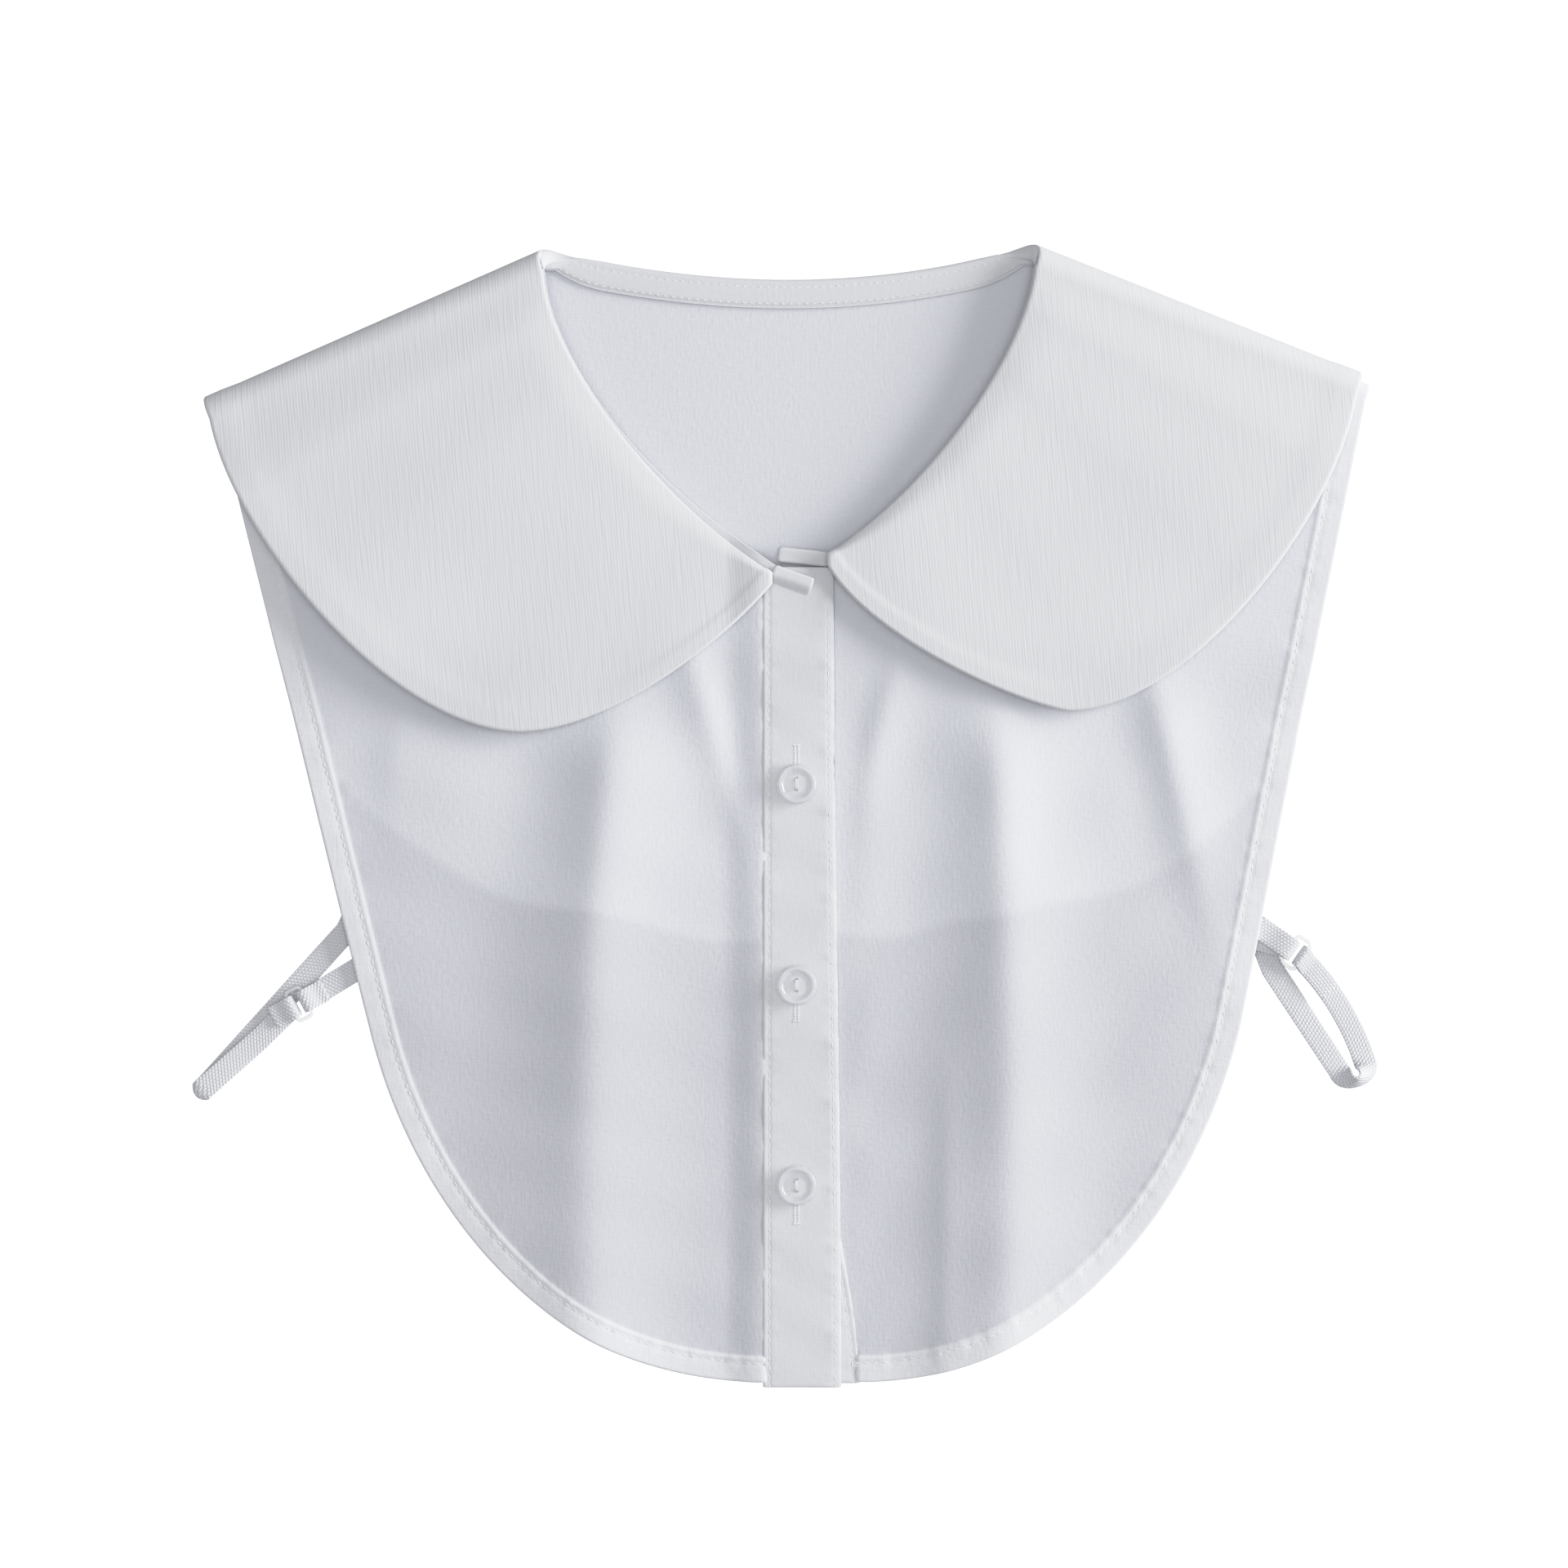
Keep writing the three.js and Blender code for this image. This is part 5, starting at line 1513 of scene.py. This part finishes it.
# %% The stitch tree
def stitch_tree():
    tree = bpy.data.node_groups.new("stitch_run", "GeometryNodeTree")
    socket = tree.interface.new_socket
    socket("Path", in_out="INPUT", socket_type="NodeSocketGeometry")
    for label in ("Pitch", "Length", "Width", "Height", "Turn"):
        socket(label, in_out="INPUT", socket_type="NodeSocketFloat")
    socket("Seed", in_out="INPUT", socket_type="NodeSocketInt")
    socket("Thread", in_out="INPUT", socket_type="NodeSocketMaterial")
    socket("Stitches", in_out="OUTPUT", socket_type="NodeSocketGeometry")
    given, result = tree.nodes.new("NodeGroupInput"), tree.nodes.new("NodeGroupOutput")
    link = tree.links.new

    curve = tree.nodes.new("GeometryNodeMeshToCurve")
    link(given.outputs["Path"], curve.inputs[0])
    places = tree.nodes.new("GeometryNodeResampleCurve")
    places.mode = "LENGTH"
    link(curve.outputs[0], places.inputs["Curve"])
    link(given.outputs["Pitch"], places.inputs["Length"])

    ahead = tree.nodes.new("FunctionNodeAlignRotationToVector")
    ahead.axis = "X"
    link(tree.nodes.new("GeometryNodeInputTangent").outputs[0], ahead.inputs["Vector"])
    outward = tree.nodes.new("GeometryNodeInputNamedAttribute")
    outward.data_type = "FLOAT_VECTOR"
    outward.inputs["Name"].default_value = "outward"
    upright = tree.nodes.new("FunctionNodeAlignRotationToVector")
    upright.axis, upright.pivot_axis = "Z", "X"
    link(ahead.outputs[0], upright.inputs["Rotation"])
    link(outward.outputs["Attribute"], upright.inputs["Vector"])

    turned = tree.nodes.new("FunctionNodeAxisAngleToRotation")
    turned.inputs["Axis"].default_value = (0, 0, 1)
    jitter = tree.nodes.new("FunctionNodeRandomValue")
    jitter.data_type = "FLOAT"
    jitter.inputs[2].default_value, jitter.inputs[3].default_value = -0.1, 0.1
    link(given.outputs["Seed"], jitter.inputs["Seed"])
    add = tree.nodes.new("ShaderNodeMath")
    link(given.outputs["Turn"], add.inputs[0])
    link(jitter.outputs[1], add.inputs[1])
    link(add.outputs[0], turned.inputs["Angle"])
    lay = tree.nodes.new("FunctionNodeRotateRotation")
    lay.rotation_space = "LOCAL"
    link(upright.outputs[0], lay.inputs["Rotation"])
    link(turned.outputs[0], lay.inputs["Rotate By"])

    pill = tree.nodes.new("GeometryNodeMeshUVSphere")
    pill.inputs["Segments"].default_value = 8
    pill.inputs["Rings"].default_value = 5
    pill.inputs["Radius"].default_value = 0.5
    size = tree.nodes.new("ShaderNodeCombineXYZ")
    for axis, label in zip("XYZ", ("Length", "Width", "Height")):
        link(given.outputs[label], size.inputs[axis])
    lay_all = tree.nodes.new("GeometryNodeInstanceOnPoints")
    link(places.outputs[0], lay_all.inputs["Points"])
    link(pill.outputs["Mesh"], lay_all.inputs["Instance"])
    link(lay.outputs[0], lay_all.inputs["Rotation"])
    link(size.outputs[0], lay_all.inputs["Scale"])

    real = tree.nodes.new("GeometryNodeRealizeInstances")
    link(lay_all.outputs[0], real.inputs[0])
    smooth = tree.nodes.new("GeometryNodeSetShadeSmooth")
    link(real.outputs[0], smooth.inputs["Geometry"])
    finish = tree.nodes.new("GeometryNodeSetMaterial")
    link(smooth.outputs[0], finish.inputs["Geometry"])
    link(given.outputs["Thread"], finish.inputs["Material"])
    link(finish.outputs[0], result.inputs[0])
    return tree


STITCH_TREE = stitch_tree()


def stitch_run(name, runs, pitch, length, width=0.42, height=0.4, turn=0.0, seed=1):
    """Stitches along runs of (points, normals) that lie on a cloth, all in millimetres."""
    points, normals, edges = [], [], []
    for run, out in runs:
        edges += [(len(points) + k, len(points) + k + 1) for k in range(len(run) - 1)]
        points += list(run)
        normals += list(out)
    mesh = bpy.data.meshes.new(name)
    mesh.from_pydata(((np.array(points) + SHIFT) * MM).tolist(), edges, [])
    way = mesh.attributes.new("outward", "FLOAT_VECTOR", "POINT")
    way.data.foreach_set("vector", np.array(normals).ravel())
    piece = bpy.data.objects.new(name, mesh)
    bpy.context.scene.collection.objects.link(piece)
    modifier = piece.modifiers.new("stitches", "NODES")
    modifier.node_group = STITCH_TREE
    values = {"Pitch": pitch * MM, "Length": length * MM, "Width": width * MM, "Height": height * MM}
    values |= {"Turn": math.radians(turn), "Seed": seed, "Thread": thread}
    for item in STITCH_TREE.interface.items_tree:
        if item.in_out == "INPUT" and item.name in values:
            modifier[item.identifier] = values[item.name]
    plain_mesh(piece)
    print(f"{name}: {len(piece.data.polygons)} faces of thread")
    return piece


# %% [markdown]
# Where the stitches run
#
# The stitches of a hem follow one column of the panel's grid, so they lie in the groove that the
# hem profile left for them. The column is found by its depth in from the edge. The buttonholes are
# worked round a slit in the placket, and the thread of a button crosses between its two holes.


# %% Hem, placket and band stitches
def column_run(name, face, column, first=0, last=None):
    """One column of a sheet's face with its normals, as a run for stitches."""
    grid = FACES[name]
    flip = 1 if face == "outer" else -1
    return grid[face][first:last, column], flip * grid["normals"][first:last, column]


def hem_column(depth):
    return len(FIELD_STEPS) + int(np.argmin(np.abs(HEM_DEPTHS - depth)))


hem_stitches = stitch_run(
    "hem_stitches",
    [column_run(name, "outer", hem_column(HEM_STITCH)) for name in ("front_left_piece", "front_right_piece")],
    pitch=2.6,
    length=1.8,
    width=0.32,
    height=0.3,
)
back_hem_stitches = stitch_run(
    "back_hem_stitches",
    [column_run("back_piece", face, hem_column(HEM_STITCH)) for face in ("outer", "inner")],
    pitch=2.6,
    length=1.8,
    width=0.32,
    height=0.3,
)


def strip_column(distance, width):
    return int(round(distance / width * (len(BAND_COLUMNS) - 1)))


left_column = strip_column(EDGE_STITCH, PLACKET_WIDTH)
placket_runs = [column_run("placket_piece", "outer", k, 10) for k in (left_column, -1 - left_column)]
EDGE_STITCHES = {"pitch": 2.6, "length": 1.7, "width": 0.3, "height": 0.26}
placket_stitches = stitch_run("placket_stitches", placket_runs, **EDGE_STITCHES, seed=2)
stand_run = column_run("button_stand_piece", "outer", -1 - left_column, BAND_ROWS * 3 // 4)
stand_stitches = stitch_run("stand_stitches", [stand_run], **EDGE_STITCHES, seed=3)

back_first = LOBE_ROWS + TURN_ROWS
back_last = back_first + 2 * COLLAR_BACK_ROWS
band_runs = [column_run("neck_band_piece", "inner", k, back_first, back_last) for k in (FOLD_COLUMNS + 2, -3)]
band_stitches = stitch_run("band_stitches", band_runs, pitch=2.2, length=1.2, width=0.3, height=0.28, seed=4)

# %% Buttonholes, bar tacks and button threads
HOLE_LENGTH = 13.6
HOLE_HALF = 0.5
placket_face = FACES["placket_piece"]


def on_placket(x, y):
    """The point of the placket's outer face nearest to a plan point, with its normal."""
    rows, normals = placket_face["outer"], placket_face["normals"]
    i = int(np.argmin(np.abs(rows[:, 20, 1] - y)))
    j = int(np.argmin(np.abs(rows[i, :, 0] - x)))
    return np.array([x, y, rows[i, j, 2]]), normals[i, j]


def buttonhole_runs(x, middle):
    runs = []
    for beside in (-HOLE_HALF, HOLE_HALF):
        ends = [middle - HOLE_LENGTH / 2, middle + HOLE_LENGTH / 2]
        found = [on_placket(x + beside, y) for y in np.linspace(*ends, 24)]
        runs.append(([point for point, _ in found], [normal for _, normal in found]))
    return runs


def tack_runs(x, middle):
    found = [[on_placket(x + dx, middle + way * HOLE_LENGTH / 2) for dx in (-0.9, 0.9)] for way in (-1, 1)]
    return [([a[0], b[0]], [a[1], b[1]]) for a, b in found]


HOLE_SHIFT = (4.2, -3.4, -4.2)
hole_middles = [y + shift for (x, y, base), shift in zip(button_places, HOLE_SHIFT)]
hole_runs = [run for middle in hole_middles for run in buttonhole_runs(BUTTON_X, middle)]
buttonhole_stitches = stitch_run(
    "buttonhole_stitches", hole_runs, pitch=0.5, length=0.85, width=0.36, height=0.36, turn=90, seed=5
)
end_runs = [run for middle in hole_middles for run in tack_runs(BUTTON_X, middle)]
buttonhole_ends = stitch_run(
    "buttonhole_ends", end_runs, pitch=0.36, length=0.7, width=0.32, height=0.32, turn=90, seed=6
)


def thread_path(x, y, base, beside):
    """Up through one hole, across the middle of the button and down through the other."""
    top = base + BUTTON_THICKNESS - BUTTON_DISH + 0.1
    reach = BUTTON_HOLE_SPACING / 2
    across = np.linspace(-reach, reach, 7)
    over = [(x + beside, y + v, top + 0.45 * (1 - (v / reach) ** 2)) for v in across]
    run = [(x + beside, y - reach, base + 0.1), *over, (x + beside, y + reach, base + 0.1)]
    return np.array(run), np.array([(0, -1, 0), *[(0, 0, 1)] * 7, (0, 1, 0)], float)


thread_runs = [thread_path(*place, beside) for place in button_places for beside in (-0.3, 0.0, 0.3)]
button_threads = stitch_run(
    "button_threads", thread_runs, pitch=0.5, length=0.75, width=0.36, height=0.36, seed=7
)

# %% [markdown]
# What each piece stands for
#
# The last step before the light is bookkeeping. Every piece rides on the model's one body, replaces
# the plain solid that it was made finer than, and takes its finish.

# %% Hand the pieces to the frame
SEWN = [hem_stitches, back_hem_stitches, placket_stitches, stand_stitches, band_stitches]
SEWN += [buttonhole_stitches, buttonhole_ends, button_threads]
PIECES = [
    (collar, "collar", collar_cloth, "collar_cloth"),
    (neck_band, "neck_band", folded_cloth, "folded_cloth"),
    (tab_left, "neck_tab_left", folded_cloth, "folded_cloth"),
    (tab_right, "neck_tab_right", folded_cloth, "folded_cloth"),
    (bib_left, "front_bib_left", bib_cloth, "bib_cloth"),
    (bib_right, "front_bib_right", bib_cloth, "bib_cloth"),
    (back_panel, "back_bib", bib_cloth, "bib_cloth"),
    (placket_top, "placket_top", folded_cloth, "folded_cloth"),
    (placket_under, "placket_under", folded_cloth, "folded_cloth"),
    (elastic_left, "elastic_left", elastic_cloth, "elastic"),
    (elastic_right, "elastic_right", elastic_cloth, "elastic"),
    (elastic_tab_left, "elastic_tab_left", elastic_cloth, "elastic"),
    (elastic_tab_right, "elastic_tab_right", elastic_cloth, "elastic"),
    (ring_left, "ring_left", ring_plastic, "ring"),
    (ring_right, "ring_right", ring_plastic, "ring"),
    *[(button, f"button_{k + 1}", button_plastic, "button") for k, button in enumerate(buttons)],
]
for piece, node, finish, slot in PIECES:
    piece.data.materials.clear()
    piece.data.materials.append(finish)
    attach(piece, "root")
    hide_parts(node)
for piece in SEWN:
    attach(piece, "root")
print("pieces:", len(PIECES), "and", len(SEWN), "runs of stitches")

# %% [markdown]
# Light, floor and camera
#
# The photograph was taken from straight above, with a soft key light low from the right, so that
# every fold has a bright side and a shaded side, and a white table that is brighter than the cloth.
# Two area lights do this: the key is wide, which softens its shadows, and a weaker one hangs straight
# overhead. The world fills the shadows. The table glows for the camera only: to the cloth it is a
# plain grey surface that throws back a little soft light.


# %% Floor and light
FLOOR_GLOW = 1.6
FLOOR_GREY = 0.45


def make_floor():
    """A white table that the camera sees as pure white, and that throws back only soft light."""
    size = 8.0
    mesh = bpy.data.meshes.new("table_top")
    corners = [(-size, -size), (size, -size), (size, size), (-size, size)]
    mesh.from_pydata([(x, y, -0.0002) for x, y in corners], [], [(0, 1, 2, 3)])
    floor = bpy.data.objects.new("table_top", mesh)
    bpy.context.scene.collection.objects.link(floor)
    white, tree, shader = new_material("white_table", Roughness=0.9, Specular_IOR_Level=0.1)
    shader.inputs["Base Color"].default_value = (FLOOR_GREY, FLOOR_GREY, FLOOR_GREY, 1)
    shader.inputs["Emission Color"].default_value = (1, 1, 1, 1)
    seen = tree.nodes.new("ShaderNodeLightPath").outputs["Is Camera Ray"]
    tree.links.new(calc(tree, "MULTIPLY", seen, FLOOR_GLOW), shader.inputs["Emission Strength"])
    mesh.materials.append(white)


make_floor()


def aim(thing, around, high, distance, target):
    """Places a light or a camera round a target, looking at it."""
    a, h = math.radians(around), math.radians(high)
    way = np.array([math.cos(a) * math.cos(h), math.sin(a) * math.cos(h), math.sin(h)])
    thing.location = np.array(target) + distance * way
    thing.rotation_euler = (math.pi / 2 - h, 0, a + math.pi / 2)


# around and high in degrees, far and the two sizes in metres, power in watts
LIGHTS = {
    "key": {"around": 12, "high": 19, "far": 1.8, "wide": 1.1, "tall": 0.75, "power": 44},
    "overhead": {"around": 0, "high": 90, "far": 1.7, "wide": 1.0, "tall": 1.0, "power": 11},
}
for name, light in LIGHTS.items():
    data = bpy.data.lights.new(name, "AREA")
    data.shape, data.size, data.size_y = "RECTANGLE", light["wide"], light["tall"]
    data.energy = light["power"]
    lamp = bpy.data.objects.new(name, data)
    lamp.visible_camera = False
    bpy.context.scene.collection.objects.link(lamp)
    aim(lamp, light["around"], light["high"], light["far"], (0, 0, 0))
FILL_STRENGTH = 0.34
world = bpy.data.worlds.new("soft_room")
world.use_nodes = True
world.node_tree.nodes["Background"].inputs["Color"].default_value = (0.96, 0.98, 1.0, 1)
world.node_tree.nodes["Background"].inputs["Strength"].default_value = FILL_STRENGTH
bpy.context.scene.world = world


# The exposure that shows as white, and pairs of (exposure, brightness shown) below it
SHOULDER_WHITE = 1.6
SHOULDER = [(0.3, 0.3), (0.6, 0.6), (0.75, 0.725), (0.95, 0.83), (1.25, 0.93)]


def soften_highlights(settings):
    """A camera's soft shoulder: cloth that faces the light stays below pure white."""
    settings.view_transform = "Standard"
    settings.use_curve_mapping = True
    mapping = settings.curve_mapping
    mapping.white_level = (SHOULDER_WHITE,) * 3
    curve = mapping.curves[3]
    for exposure, shown in SHOULDER:
        curve.points.new(exposure / SHOULDER_WHITE, shown)
    mapping.update()


soften_highlights(bpy.context.scene.view_settings)

# %% Camera
FRAME_WIDTH = 441.6
AIM_X, AIM_Y, AIM_Z = -1.13, 8.55, 8.0
camera_data = bpy.data.cameras.new("overhead")
camera_data.lens, camera_data.sensor_width = 100, 36
camera_data.clip_start = 0.05
camera = bpy.data.objects.new("overhead", camera_data)
bpy.context.scene.collection.objects.link(camera)
distance = FRAME_WIDTH * camera_data.lens / camera_data.sensor_width
camera.location = (AIM_X * MM, AIM_Y * MM, (AIM_Z + distance) * MM)
bpy.context.scene.camera = camera
